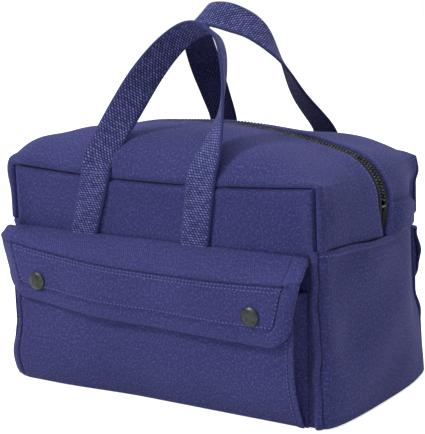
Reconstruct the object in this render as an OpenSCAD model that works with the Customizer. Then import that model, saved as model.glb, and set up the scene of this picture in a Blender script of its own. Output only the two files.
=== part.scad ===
// Mechanic's tool bag in heavy canvas, with a zipped crown, two web handles and two flapped pockets.
// Origin: on the ground under the middle of the base. X runs along the bag, Y to its rear, Z up.
// The rear of the bag is its front turned half round, and so is the left end its right end.

/* [Body] */
// Width between the side seams, at the top
bag_w = 280; // [250:1:330]
// Depth between the front and rear panels, at the top
bag_d = 154; // [130:1:190]
// Height of the top seam at its corners
seam_h = 175; // [160:1:190]
// How far the top seam sags in the middle
seam_dip = 6; // [0:0.5:10]
// How far the base stands out past the top on each side
flare = 4; // [0:0.5:8]
// Height of the two end panels
end_h = 130; // [126:1:142]
// How far an end panel bulges at its top
end_bulge = 15; // [10:0.5:20]
// How far an end panel bulges at its base
foot_bulge = 12; // [4:0.5:16]
// How full the crown and the ends are: 2 is an ellipse, and more is boxier
fullness = 2.8; // [2:0.1:4]
// Thickness of the canvas
canvas_t = 1.6; // [1:0.1:2]
// Width of the raised seam down each corner
welt_w = 4.5; // [4:0.5:8]
// Thickness of a welt or a hem on top of the canvas
welt_t = 1.2; // [0.8:0.1:2]
// Height of the folded hem along the top of an end panel
hem_h = 5; // [3:0.5:8]

/* [Crown and zip] */
// Height of the zip at the middle of the crown
crown_h = 207; // [198:1:230]
// Radius of the long curve of the crown
crown_r = 470; // [400:5:600]
// Radius at which the zip turns down over each end
corner_r = 40; // [36:1:46]
// Width of the slit in the canvas that shows the zip
zip_slit = 14; // [12:0.5:20]
// How far a zip tape reaches under the canvas
tape_lap = 6; // [3:0.5:9]
// Thickness of a zip tape
tape_t = 0.8; // [0.5:0.1:1]
// Distance from one tooth to the next in a row
tooth_pitch = 2.6; // [2.4:0.1:4]
// Width of a tooth along the zip
tooth_w = 1.5; // [1:0.1:1.8]
// Length of a tooth across the zip
tooth_l = 2.9; // [2:0.1:3.2]
// Thickness of a tooth
tooth_t = 2.2; // [1.6:0.1:2.4]
// Space between the two rows, which the post of the slider needs
row_gap = 0.9; // [0.8:0.1:1.4]
// Length of bare tape between the last tooth and the end panel
zip_bare = 23; // [23:0.5:30]

/* [Slider] */
// Length of the slider
slider_l = 12; // [10:0.5:13]
// Thickness of each plate of the slider
plate_t = 1.2; // [0.8:0.1:1.6]
// Running clearance round the teeth inside the slider
slider_clear = 0.5; // [0.4:0.1:0.7]
// Thickness of the side walls of the slider
slider_wall = 0.8; // [0.6:0.1:1.2]
// Width of the post that joins the two plates
post_w = 0.5; // [0.3:0.1:0.5]
// Outer radius of the bridge that holds the pull
bridge_r = 3; // [2.8:0.1:3.4]
// Width of the bridge
bridge_w = 2.4; // [1.8:0.1:3]
// Length of the pull from its pivot
pull_l = 28; // [20:1:34]
// Width of the pull
pull_w = 8; // [7:0.5:10]
// Thickness of the pull
pull_t = 1.4; // [1:0.1:1.5]

/* [Handles] */
// Width of the web
strap_w = 25.4; // [20:0.1:32]
// Thickness of the web
strap_t = 2.4; // [1.6:0.1:3]
// Place of the left foot of the front handle, left of the middle
strap_left = 69; // [50:1:90]
// Place of its right foot, right of the middle
strap_right = 37; // [30:1:60]
// How far the left leg slants inwards between the flap and the top seam
left_slant = 16; // [0:1:26]
// How far the right leg slants outwards there
right_slant = 8; // [0:1:12]
// Length of the loop above the top seam
loop_h = 117; // [90:1:130]
// How far the front loop leans over the bag, in degrees
front_lean_angle = 22.4; // [10:0.1:27]
// How far the rear loop leans over the bag, in degrees
rear_lean_angle = 25.7; // [10:0.1:27]
// Length of web over which the loop bends into its lean
lean_run = 15; // [10:1:30]
// Height at which the web is sewn down behind the pocket
anchor_z = 92; // [80:1:100]

/* [Pockets] */
// Width of an outside pocket
pocket_w = 262; // [220:1:266]
// Height of its mouth
pocket_h = 100; // [90:1:108]
// How far its face stands out from the top of the panel
pocket_depth = 19; // [16:0.5:24]
// How far its foot stands out from the base of the panel
pocket_foot = 2; // [1.7:0.1:4]
// Height at which the face becomes upright
pocket_knee = 46; // [36:1:70]
// How much wider its sides splay towards the panel
pocket_splay = 3; // [0:0.5:4]
// How deep its side pleats fold in
pleat_in = 7; // [3:0.5:10]

/* [Flaps] */
// Width of a flap at its ridge
flap_w = 278; // [230:1:280]
// How much narrower a flap is at its seam, on each side
flap_tuck = 3; // [0:0.5:6]
// Width of a flap just above its round corners
flap_low_w = 264; // [230:1:268]
// Height of the seam that carries a flap
flap_line = 125; // [120:1:125]
// How far the ridge stands out from the seam
roof_out = 22; // [20:0.5:28]
// How far the ridge lies below the seam
roof_drop = 11; // [8:0.5:16]
// How far the ridge sags in its middle
ridge_dip = 6; // [0:0.5:8]
// Length from the seam down to the lower edge
flap_drop = 60; // [54:1:70]
// Radius of the lower corners
flap_corner_r = 20; // [10:1:24]
// Thickness of a flap, which is two layers
flap_t = 2.4; // [1.6:0.1:3]
// Height of the sewn strip behind the seam
strip_h = 6; // [4:0.5:10]

/* [Snaps] */
// Distance between the two snaps of a pocket
snap_spacing = 200; // [160:1:210]
// Height of the snaps
snap_z = 86; // [80:1:88]
// How much higher the left snap of the front sits than its right snap
snap_rise = 4; // [0:0.5:6]
// Diameter of a cap
cap_d = 15; // [12:0.5:16]
// Height of the rim of a cap
cap_rim = 0.8; // [0.5:0.1:1.2]
// Height of the dome of a cap
cap_dome = 2.2; // [1.5:0.1:3]
// Diameter of a socket
socket_d = 12; // [10:0.5:13]
// Diameter of the hole in a socket
socket_hole = 5; // [4.6:0.1:6]
// Diameter of the nib of a stud
nib_d = 4; // [3:0.1:4.4]
// Thickness of the flange of a stud, and of its back
flange_t = 1; // [0.6:0.1:1.2]
// Diameter of the flange of a stud, and of its back
flange_d = 11; // [8:0.5:12]

/* [Inside pockets] */
// Number of inside pockets along each panel
inner_count = 4; // [2:1:6]
// Height of their mouths
inner_h = 95; // [70:1:110]
// Height of their lower seam
inner_foot = 8; // [4:1:20]
// Thickness of their cloth
inner_t = 1; // [0.6:0.1:1.6]
// How far each pocket stands off the panel in its middle
inner_swell = 3; // [1:0.5:4]

/* [Hidden] */

// Colours, as the cloth, web, tape and metal look
canvas_color = "#3f4079";
web_color = "#3a3b74";
tape_color = "#15151b";
tooth_color = "#4b4b50";
metal_color = "#3d4147";

// Clearance between cloth that lies on cloth
lay_gap = 0.1;
// Clearance between pieces that move past each other
move_gap = 0.3;
// How far a cut runs past what it cuts
overrun = 1;

half_w = bag_w / 2;
half_d = bag_d / 2;
// Inner face of the front panel, which the front edge of the band meets
rim_y = half_d - canvas_t;

// Steps along the top and down each end of the band, and from its seam to the zip
top_steps = 28;
side_steps = 6;
band_steps = 7;
// Steps across an end panel
end_steps = 16;
// Share of the band's stations that lies on each end
side_share = 0.22;

// Basic helpers
function lerp(a, b, t) = a + (b - a) * t;
function clamp01(t) = min(1, max(0, t));
function unit(v) = v / norm(v);
function steps(n) = [for (i = [0:n]) i / n];
function steps_about(n) = [for (i = [0:n]) 2 * i / n - 1];
// Steps from -1 to 1 that are closer together towards both ends
function steps_round(n) = [for (i = [0:n]) -cos(180 * i / n)];
// Rise of a full cushion, from 0 at its seam (w = -1 or 1) to 1 in its middle (w = 0)
function cushion(w) = pow(max(0, 1 - pow(abs(w), fullness)), 1 / fullness);

// Smooth value between the entries of a table, at a place k counted in entries
function along(table, k) =
    let (
        last = len(table) - 1,
        i = min(last - 1, floor(k)),
        t = k - i,
        b = table[i],
        c = table[i + 1],
        a = i > 0 ? table[i - 1] : 2 * b - c,
        d = i < last - 1 ? table[i + 2] : 2 * c - b
    )
    b + t * ((c - a) / 2 + t * ((2 * a - 5 * b + 4 * c - d) / 2 + t * (3 * b - a - 3 * c + d) / 2));

// A sheet with a thickness: skin(u, v, d) gives its outer side at d = 0 and its inner side at d = 1.
// The outer side faces the way that u crossed with v points.
module sheet(skin, us, vs) {
    nu = len(us);
    nv = len(vs);
    points = [for (d = [0, 1]) for (v = vs) for (u = us) skin(u, v, d)];
    function at(i, j, d) = d * nu * nv + j * nu + i;
    outer = [for (j = [0:nv - 2]) for (i = [0:nu - 2]) for (half = [0, 1])
        half == 0 ? [at(i, j, 0), at(i, j + 1, 0), at(i + 1, j + 1, 0)]
            : [at(i, j, 0), at(i + 1, j + 1, 0), at(i + 1, j, 0)]];
    inner = [for (j = [0:nv - 2]) for (i = [0:nu - 2]) for (half = [0, 1])
        half == 0 ? [at(i + 1, j + 1, 1), at(i, j + 1, 1), at(i, j, 1)]
            : [at(i + 1, j, 1), at(i + 1, j + 1, 1), at(i, j, 1)]];
    low_rim = [for (i = [0:nu - 2]) for (half = [0, 1])
        half == 0 ? [at(i, 0, 0), at(i + 1, 0, 0), at(i + 1, 0, 1)]
            : [at(i, 0, 0), at(i + 1, 0, 1), at(i, 0, 1)]];
    high_rim = [for (i = [0:nu - 2]) for (half = [0, 1])
        half == 0 ? [at(i + 1, nv - 1, 0), at(i, nv - 1, 0), at(i, nv - 1, 1)]
            : [at(i + 1, nv - 1, 0), at(i, nv - 1, 1), at(i + 1, nv - 1, 1)]];
    first_rim = [for (j = [0:nv - 2]) for (half = [0, 1])
        half == 0 ? [at(0, j + 1, 0), at(0, j, 0), at(0, j, 1)]
            : [at(0, j + 1, 0), at(0, j, 1), at(0, j + 1, 1)]];
    last_rim = [for (j = [0:nv - 2]) for (half = [0, 1])
        half == 0 ? [at(nu - 1, j, 0), at(nu - 1, j + 1, 0), at(nu - 1, j + 1, 1)]
            : [at(nu - 1, j, 0), at(nu - 1, j + 1, 1), at(nu - 1, j, 1)]];
    polyhedron(points, concat(outer, inner, low_rim, high_rim, first_rim, last_rim));
}

// The rear of the bag from its front, and the left end from the right end
module turned() {
    rotate([0, 0, 180]) children();
}

// Body: how far the walls stand out at a height, and the seam along the top
function flare_at(z) = flare * (1 - z / end_h);
function wall_x(z) = half_w + flare_at(z);
function wall_y(z) = half_d + flare_at(z);
function bulge_at(z) = lerp(foot_bulge, end_bulge, z / end_h);
function seam_z(x) = seam_h - seam_dip * (1 - pow(x / half_w, 2));

module base_panel() {
    end = [for (w = steps_round(end_steps)) [wall_x(0) + foot_bulge * cushion(w), w * (wall_y(0) - canvas_t)]];
    front = [[wall_x(0), wall_y(0)], [-wall_x(0), wall_y(0)]];
    color(canvas_color) linear_extrude(canvas_t) polygon(concat(end, front, -end, -front));
}

module right_end_panel() {
    color(canvas_color) sheet(
        function (w, v, d) let (z = lerp(canvas_t, end_h, v)) [
            wall_x(z) + bulge_at(z) * cushion(w) - d * canvas_t,
            w * (wall_y(z) - canvas_t - d * canvas_t),
            z
        ],
        steps_round(end_steps), steps(4)
    );
}

module left_end_panel() {
    turned() right_end_panel();
}

// Folded hem that caps the end panel along its top
module right_end_hem() {
    color(canvas_color) sheet(
        function (w, v, d) let (z = lerp(end_h - hem_h, end_h, v)) [
            wall_x(z) + bulge_at(z) * cushion(w) + (1 - d) * welt_t + lay_gap,
            w * (wall_y(z) - canvas_t + (1 - d) * welt_t + lay_gap),
            z
        ],
        steps_round(end_steps), steps(1)
    );
}

module left_end_hem() {
    turned() right_end_hem();
}

module front_panel() {
    color(canvas_color) sheet(
        function (u, v, d) let (z = lerp(canvas_t, end_h, v)) [u * wall_x(z), d * canvas_t - wall_y(z), z],
        [-1, 1], [0, 1]
    );
}

module rear_panel() {
    turned() front_panel();
}

// Upper stretch of the front panel, which folds outwards with the mouth
module front_panel_top() {
    color(canvas_color) sheet(
        function (u, v, d) let (x = u * half_w) [x, d * canvas_t - half_d, lerp(end_h, seam_z(x), v)],
        steps_about(top_steps), [0, 1]
    );
}

module rear_panel_top() {
    turned() front_panel_top();
}

module front_corner_welts() {
    color(canvas_color) for (side = [-1, 1]) sheet(
        function (u, v, d) let (z = lerp(canvas_t, end_h, v)) [
            side * (wall_x(z) - welt_w / 2) + (u - 1 / 2) * welt_w,
            -wall_y(z) - (1 - d) * welt_t,
            z
        ],
        [0, 1], [0, 1]
    );
}

module rear_corner_welts() {
    turned() front_corner_welts();
}

// Zip path, seen along Y: up the right end, round its corner, over the crown and down the left end.
// A place on it is a length s from its right foot, and a depth below the outer face of the canvas.
corner_x = half_w + end_bulge - corner_r;
crown_z = crown_h - crown_r;
corner_z = crown_z + sqrt(pow(crown_r - corner_r, 2) - pow(corner_x, 2));
crown_half = asin(corner_x / (crown_r - corner_r));
rise_l = corner_z - end_h;
bend_l = corner_r * (90 - crown_half) * PI / 180;
crown_l = crown_r * crown_half * PI / 180;
path_half = rise_l + bend_l + crown_l;
path_l = 2 * path_half;

// Direction of the outward normal, counted up from +X
function path_turn(s) =
    s > path_half ? 180 - path_turn(path_l - s)
    : s < rise_l ? 0
    : s < rise_l + bend_l ? (s - rise_l) / corner_r * 180 / PI
    : 90 - crown_half + (s - rise_l - bend_l) / crown_r * 180 / PI;

function path_point(s, depth) =
    s > path_half ? let (p = path_point(path_l - s, depth)) [-p[0], p[1]]
    : let (a = path_turn(s))
        s < rise_l ? [corner_x + corner_r - depth, end_h + s]
        : s < rise_l + bend_l ? [corner_x, corner_z] + (corner_r - depth) * [cos(a), sin(a)]
        : [0, crown_z] + (crown_r - depth) * [cos(a), sin(a)];

// Band of the crown: u runs from -1 at the left foot to 1 at the right foot
corner_s = rise_l + bend_l / 2;
function on_side(u) = abs(u) > 1 - side_share;
function side_part(u) = (1 - abs(u)) / side_share;
function top_part(u) = abs(u) / (1 - side_share);
function band_rim(u, depth) =
    on_side(u) ? [half_w - depth, lerp(end_h, seam_h - depth, side_part(u))]
    : [(half_w - depth) * top_part(u), seam_z(half_w * top_part(u)) - depth];
function band_path(u, depth) =
    path_point(on_side(u) ? corner_s * side_part(u) : lerp(path_half, corner_s, top_part(u)), depth);
// The band swells from its seam, at y = -rim_y, to the zip, at y = 0
function band_point(u, y, depth) =
    let (p = lerp(band_rim(u, depth), band_path(u, depth), cushion(y / rim_y)))
    [u < 0 ? -p[0] : p[0], y * (1 - depth / rim_y * pow(y / rim_y, 4)), p[1]];
side_stations = [for (i = [0:side_steps - 1]) 1 - side_share * i / side_steps];
top_stations = [for (i = [0:top_steps]) (1 - side_share) * (1 - 2 * i / top_steps)];
band_stations = concat(
    -side_stations,
    [for (i = [top_steps:-1:0]) top_stations[i]],
    [for (i = [side_steps - 1:-1:0]) side_stations[i]]
);

module front_band() {
    color(canvas_color) sheet(
        function (u, y, d) band_point(u, -y, d * canvas_t),
        band_stations, concat([for (v = steps(band_steps)) lerp(tape_y, rim_y, cos(90 * v))], [zip_slit / 2])
    );
}

module rear_band() {
    turned() front_band();
}

// Zip: the teeth stand on the edges of the tapes, which lie under the canvas
tape_top = canvas_t + lay_gap;
tape_mid = tape_top + tape_t / 2;
tape_edge = row_gap / 2 + tooth_l;
tape_y = zip_slit / 2 + tape_lap;

module front_zip_tape() {
    color(tape_color) sheet(
        function (u, y, d) band_point(u, -y, tape_top + d * tape_t),
        band_stations, [tape_y, zip_slit / 2, tape_edge]
    );
}

module rear_zip_tape() {
    turned() front_zip_tape();
}

teeth_l = path_l - 2 * zip_bare;
tooth_count = floor(teeth_l / tooth_pitch);

// One row of teeth; the other row lies half a pitch further on
module front_zip_teeth() {
    color(tooth_color) for (i = [0:tooth_count - 1]) {
        s = path_half + (i - (tooth_count - 1) / 2 + 1 / 4) * tooth_pitch;
        p = path_point(s, tape_mid);
        translate([p[0], -tape_edge, p[1]])
            rotate([0, -path_turn(s), 0])
            translate([-tooth_t / 2, 0, -tooth_w / 2])
            cube([tooth_t, tooth_l, tooth_w]);
    }
}

module rear_zip_teeth() {
    turned() front_zip_teeth();
}

// Metal stop below the last teeth of the right end, between the edges of the two tapes
module zip_end_stop() {
    s = zip_bare - 2 * tooth_w;
    p = path_point(s, tape_mid);
    color(metal_color) translate([p[0], 0, p[1]])
        rotate([0, -path_turn(s), 0])
        cube([tooth_t, 2 * (tape_edge - move_gap), tooth_w], center = true);
}

// Slider: it stands at the left end when the zip is shut, and is drawn with its outer face towards +X
chamber_top = tape_mid - tooth_t / 2 - slider_clear;
chamber_low = tape_mid + tooth_t / 2 + slider_clear + pow(slider_l, 2) / corner_r / 8;
slot_top = tape_top - slider_clear;
slot_low = tape_top + tape_t + slider_clear + pow(slider_l, 2) / corner_r / 8;
chamber_half = tape_edge + move_gap;
slider_half = chamber_half + slider_wall;
slot_cut = slider_wall + 2 * overrun;
bridge_x = bridge_r - chamber_top;
crossbar_r = pull_t / 2;

module at_slider() {
    p = path_point(zip_bare, 0);
    turned() translate([p[0], 0, p[1]]) rotate([0, -path_turn(zip_bare), 0]) children();
}

// Outline of a plate, with its round head at the closed end of the zip
module slider_plan() {
    translate([0, slider_half - slider_l / 2]) {
        circle(r = slider_half, $fn = 48);
        translate([-slider_half, 0]) square([2 * slider_half, slider_l - slider_half]);
    }
}

module slider_slab(low, high) {
    translate([-low, 0, 0]) rotate([90, 0, 90]) linear_extrude(low - high) slider_plan();
}

module zip_slider() {
    tall = slider_l + 2 * overrun;
    color(metal_color) at_slider() difference() {
        union() {
            slider_slab(chamber_low + plate_t, chamber_top - plate_t);
            translate([bridge_x, bridge_w / 2, 0]) rotate([90, 0, 0]) cylinder(r = bridge_r, h = bridge_w, $fn = 40);
        }
        difference() {
            translate([-chamber_low, -chamber_half, -tall / 2])
                cube([chamber_low - chamber_top, 2 * chamber_half, tall]);
            translate([-chamber_low, -post_w / 2, -slider_l / 2])
                cube([chamber_low - chamber_top, post_w, slider_l / 3]);
        }
        translate([-slot_low, chamber_half - overrun, -tall / 2]) cube([slot_low - slot_top, slot_cut, tall]);
        translate([-slot_low, -chamber_half + overrun - slot_cut, -tall / 2])
            cube([slot_low - slot_top, slot_cut, tall]);
        translate([bridge_x, bridge_w, 0]) rotate([90, 0, 0])
            cylinder(r = crossbar_r + slider_clear, h = 2 * bridge_w, $fn = 40);
    }
}

// Pull: a crossbar through the bridge, two arms beside it and a round-ended blade with a hole
module zip_pull() {
    window_w = bridge_w + 2 * slider_clear;
    window_l = bridge_r + 2 * slider_clear;
    color(metal_color) at_slider() translate([bridge_x, 0, 0]) {
        translate([-pull_t / 2, 0, 0]) rotate([90, 0, 90]) linear_extrude(pull_t) difference() {
            union() {
                translate([-pull_w / 2, -pull_l + pull_w / 2]) square([pull_w, pull_l - pull_w / 2]);
                translate([0, -pull_l + pull_w / 2]) circle(d = pull_w, $fn = 48);
            }
            translate([-window_w / 2, -window_l - crossbar_r]) square([window_w, window_l + overrun + crossbar_r]);
            translate([0, -pull_l + pull_w / 2]) circle(d = pull_w / 2, $fn = 40);
        }
        translate([0, pull_w / 2, 0]) rotate([90, 0, 0]) cylinder(r = crossbar_r, h = pull_w, $fn = 32);
    }
}

// Handles: a web leg runs up the panel, slants between the flap and the fold, and becomes the loop
fold_z = seam_h - welt_t;
web_y = half_d + strap_t / 2;
legs = [[-strap_left, left_slant], [strap_right, right_slant]];
function leg_x(leg, z) = leg[0] + leg[1] * max(0, z - flap_line) / (fold_z - flap_line);
// Half of the level cut through a leg, which is wider than the web where the leg slants
function leg_half(leg, z) =
    z > flap_line ? strap_w / 2 * norm([leg[1], fold_z - flap_line]) / (fold_z - flap_line) : strap_w / 2;
// Turns what stands on an upright wall so that it lies on the sloping wall below the end of the side seam
module on_slope() {
    translate([0, -half_d, end_h]) rotate([-atan(flare / end_h), 0, 0]) translate([0, half_d, -end_h]) children();
}
foot_left = leg_x(legs[0], fold_z);
foot_right = leg_x(legs[1], fold_z);

module web_legs(heights) {
    color(web_color) for (leg = legs) {
        edge = [for (z = heights) [leg_x(leg, z) + leg_half(leg, z), z]];
        back = [for (i = [len(heights) - 1:-1:0])
            [leg_x(leg, heights[i]) - leg_half(leg, heights[i]), heights[i]]];
        translate([0, -half_d, 0]) rotate([90, 0, 0]) linear_extrude(strap_t) polygon(concat(edge, back));
    }
}

module front_handle_anchors() {
    on_slope() web_legs([anchor_z, flap_line, end_h - lay_gap]);
}

module rear_handle_anchors() {
    turned() front_handle_anchors();
}

module front_handle_risers() {
    web_legs([end_h, fold_z]);
}

module rear_handle_risers() {
    turned() front_handle_risers();
}

// Loop of a handle, as shares of the span between its feet, of its height and of a right angle.
// A positive turn faces the outer side of the web into the loop.
front_run_shares = [0, 0.01, 0.07, 0.172, 0.31, 0.479, 0.66, 0.828, 0.962, 1.043, 1.08, 1.06, 1];
front_rise_shares = [0, 0.1, 0.24, 0.444, 0.68, 0.872, 0.983, 0.986, 0.884, 0.693, 0.458, 0.221, 0];
front_turn_shares = [0, 0.06, 0.18, 0.42, 0.66, 0.82, 0.92, 0.96, 0.84, 0.72, 0.56, 0.25, 0];
rear_run_shares = [0, 0, 0.05, 0.149, 0.31, 0.498, 0.667, 0.793, 0.88, 0.898, 0.9, 0.93, 1];
rear_rise_shares = [0, 0.17, 0.435, 0.729, 0.929, 1.03, 1.08, 1.06, 0.927, 0.72, 0.463, 0.21, 0];
rear_turn_shares = [0, -0.15, -0.34, -0.63, -1, -1.25, -1.2, -1.02, -0.74, -0.47, -0.2, -0.05, 0];
front_loop = [front_run_shares, front_rise_shares, front_turn_shares, front_lean_angle];
rear_loop = [rear_run_shares, rear_rise_shares, rear_turn_shares, rear_lean_angle];
loop_steps = 44;

// Length of the lean that a length h of web has taken up
function leaned(h) = h < lean_run ? h * h / (2 * lean_run) : h - lean_run / 2;
function loop_at(k, loop) =
    let (h = loop_h * along(loop[1], k), lean = loop[3])
    [
        lerp(foot_left, foot_right, along(loop[0], k)),
        sin(lean) * leaned(h) - web_y,
        fold_z + move_gap + h - (1 - cos(lean)) * leaned(h)
    ];
// Width and facing of the web at a place k along the loop
function loop_frame(k, loop) =
    let (
        last = len(loop[0]) - 1,
        slip = 1 / 50,
        tangent = unit(loop_at(min(last, k + slip), loop) - loop_at(max(0, k - slip), loop)),
        tilt = loop[3] * clamp01(loop_h * along(loop[1], k) / lean_run),
        front = [0, -cos(tilt), sin(tilt)],
        inward = unit(cross(tangent, front)),
        ahead = unit(cross(inward, tangent)),
        turn = 90 * along(loop[2], k),
        face = cos(turn) * ahead + sin(turn) * inward
    )
    [unit(cross(tangent, face)), face];

// Half the width of the web, as a vector, which is cut level at the feet
function web_half(k, loop) =
    let (
        last = len(loop[0]) - 1,
        across = loop_frame(k, loop)[0] * strap_w / 2,
        leg = k < last / 2 ? legs[0] : legs[1]
    )
    lerp([sign(across[0]) * leg_half(leg, fold_z), 0, 0], across, clamp01(min(k, last - k)));

module web_loop(loop) {
    color(web_color) sheet(
        function (u, v, d) let (k = v * (len(loop[0]) - 1))
            loop_at(k, loop) + web_half(k, loop) * u + loop_frame(k, loop)[1] * (1 / 2 - d) * strap_t,
        [-1, 1], steps(loop_steps)
    );
}

module front_handle() {
    web_loop(front_loop);
}

module rear_handle() {
    turned() web_loop(rear_loop);
}

// Outside pockets: how far the outer face stands out at a height
function face_y(z) = lerp(wall_y(0) + pocket_foot, half_d + pocket_depth, sin(90 * clamp01(z / pocket_knee)));
pocket_levels = [0, 0.1, 0.2, 0.3, 0.4, 0.5, 0.6, 1];

module front_pocket() {
    color(canvas_color) sheet(
        function (u, v, d) let (z = lerp(canvas_t, pocket_h, v)) [u * pocket_w / 2, d * canvas_t - face_y(z), z],
        [-1, 1], pocket_levels
    );
}

module rear_pocket() {
    turned() front_pocket();
}

// Pleated side of a pocket, folded inwards along its middle
module pocket_gusset() {
    sheet(
        function (u, v, d) let (z = lerp(canvas_t, pocket_h, v)) [
            pocket_w / 2 + pocket_splay * u - pleat_in * (1 - abs(2 * u - 1)) - d * canvas_t,
            lerp(canvas_t - face_y(z), -wall_y(z), u),
            z
        ],
        [0, 0.5, 1], pocket_levels
    );
}

module front_pocket_gussets() {
    color(canvas_color) {
        pocket_gusset();
        mirror([1, 0, 0]) pocket_gusset();
    }
}

module rear_pocket_gussets() {
    turned() front_pocket_gussets();
}

// Flaps: a place on the flap is a share t of the way down, which is 0 at the seam, 1 at the ridge
// and 2 at the lower edge, and a share u across, which is -1 at the left and 1 at the right
flap_y = half_d + strap_t + move_gap;
face_l = flap_drop - roof_drop;
corner_t = 2 - flap_corner_r / face_l;
edge_drop = flap_t * norm([roof_out, roof_drop + ridge_dip]) / roof_out;
corner_angles = [90, 72, 54, 36, 18, 0];
flap_levels = concat(
    [for (a = corner_angles) corner_t + flap_corner_r / face_l * sin(a)],
    [(1 + corner_t) / 2, 1, 1 / 2, 0]
);

function ridge_drop(u) = roof_drop + ridge_dip * (1 - u * u);
// How far the flap hangs lower or higher than it does in its middle
function skew(x) = -snap_rise * x / snap_spacing;
function flap_outer(t, u) =
    t < 1 ? [-roof_out, -ridge_drop(u)] * t : [-roof_out, -lerp(ridge_drop(u), flap_drop, t - 1)];
function flap_inner(t, u) =
    let (ridge = [flap_t - roof_out, -edge_drop - ridge_drop(u) * (1 - flap_t / roof_out)])
    t < 1 ? lerp([0, -edge_drop], ridge, t) : [ridge[0], lerp(ridge[1], -flap_drop, t - 1)];
function flap_half(t) =
    t < 1 ? flap_w / 2 - flap_tuck * (1 - t)
    : t < corner_t ? lerp(flap_w, flap_low_w, (t - 1) / (corner_t - 1)) / 2
    : flap_low_w / 2 - flap_corner_r + sqrt(max(0, pow(flap_corner_r, 2) - pow((t - corner_t) * face_l, 2)));

module front_flap() {
    color(canvas_color) sheet(
        function (u, t, d) let (
            p = lerp(flap_outer(t, u), flap_inner(t, u), d),
            x = u * flap_half(t)
        ) [x, p[0] - flap_y, p[1] + flap_line + min(1, t) * skew(x)],
        steps_about(10), flap_levels
    );
}

module rear_flap() {
    turned() front_flap();
}

// Folded strips under the seam of the flap, which fill the panel beside and between the web legs
module front_flap_seam() {
    side = min(flap_w / 2 - flap_tuck, half_w - welt_w - move_gap);
    clear = strap_w / 2 + move_gap;
    spans = [[-side, -strap_left - clear], [-strap_left + clear, strap_right - clear], [strap_right + clear, side]];
    color(canvas_color) on_slope() for (span = spans)
        translate([span[0], -half_d - strap_t, flap_line - strip_h]) cube([span[1] - span[0], strap_t, strip_h]);
}

module rear_flap_seam() {
    turned() front_flap_seam();
}

// Snaps: cap and socket clinch the flap, stud and back clinch the face of the pocket
flap_face_y = flap_y + roof_out;
flap_back_y = flap_face_y - flap_t;
pocket_face_y = half_d + pocket_depth;
socket_t = flap_back_y - pocket_face_y - flange_t - move_gap;

module at_snaps(y) {
    for (x = [-1, 1] * snap_spacing / 2) translate([x, -y, snap_z + skew(x)]) rotate([90, 0, 0]) children();
}

module front_snap_caps() {
    dome_r = (pow(cap_d / 2, 2) + pow(cap_dome, 2)) / (2 * cap_dome);
    color(metal_color) at_snaps(flap_face_y) intersection() {
        cylinder(d = cap_d, h = cap_rim + cap_dome, $fn = 64);
        translate([0, 0, cap_rim + cap_dome - dome_r]) sphere(r = dome_r, $fn = 96);
    }
}

module rear_snap_caps() {
    turned() front_snap_caps();
}

module front_snap_sockets() {
    color(metal_color) at_snaps(flap_back_y - socket_t) difference() {
        cylinder(d = socket_d, h = socket_t, $fn = 48);
        translate([0, 0, -overrun]) cylinder(d = socket_hole, h = socket_t + 2 * overrun, $fn = 32);
    }
}

module rear_snap_sockets() {
    turned() front_snap_sockets();
}

module front_snap_studs() {
    color(metal_color) at_snaps(pocket_face_y) {
        cylinder(d = flange_d, h = flange_t, $fn = 48);
        cylinder(d = nib_d, h = flange_t + move_gap + socket_t - lay_gap, $fn = 32);
    }
}

module rear_snap_studs() {
    turned() front_snap_studs();
}

module front_snap_backs() {
    color(metal_color) at_snaps(pocket_face_y - canvas_t - flange_t) difference() {
        cylinder(d = flange_d, h = flange_t, $fn = 48);
        translate([0, 0, -overrun]) cylinder(d = nib_d, h = flange_t + 2 * overrun, $fn = 32);
    }
}

module rear_snap_backs() {
    turned() front_snap_backs();
}

// Inside pockets: one strip of cloth, sewn down between the pockets
module front_inner_pockets() {
    reach = half_w - 2 * canvas_t;
    color(canvas_color) sheet(
        function (u, v, d) let (
            z = lerp(inner_foot, inner_h, v),
            swell = inner_swell * v * pow(sin(90 * inner_count * (u + 1)), 2)
        ) [u * reach, canvas_t + lay_gap + swell + d * inner_t - wall_y(z), z],
        steps_about(6 * inner_count), [0, 0.5, 1]
    );
}

module rear_inner_pockets() {
    turned() front_inner_pockets();
}

base_panel();
left_end_panel();
right_end_panel();
front_panel();
rear_panel();
left_end_hem();
right_end_hem();
front_corner_welts();
rear_corner_welts();
front_inner_pockets();
rear_inner_pockets();
front_handle_anchors();
rear_handle_anchors();
front_flap_seam();
rear_flap_seam();
front_pocket();
rear_pocket();
front_pocket_gussets();
rear_pocket_gussets();
front_snap_studs();
rear_snap_studs();
front_snap_backs();
rear_snap_backs();
front_panel_top();
front_band();
front_zip_tape();
front_zip_teeth();
front_handle_risers();
rear_panel_top();
rear_band();
rear_zip_tape();
rear_zip_teeth();
rear_handle_risers();
zip_end_stop();
front_handle();
rear_handle();
front_flap();
front_snap_caps();
front_snap_sockets();
rear_flap();
rear_snap_caps();
rear_snap_sockets();
zip_slider();
zip_pull();
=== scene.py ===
"""Looks of a canvas tool bag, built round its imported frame."""
import logging
import math
from dataclasses import dataclass, field
from enum import Enum

import bpy
import numpy as np
from mathutils import Matrix, Vector


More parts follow.
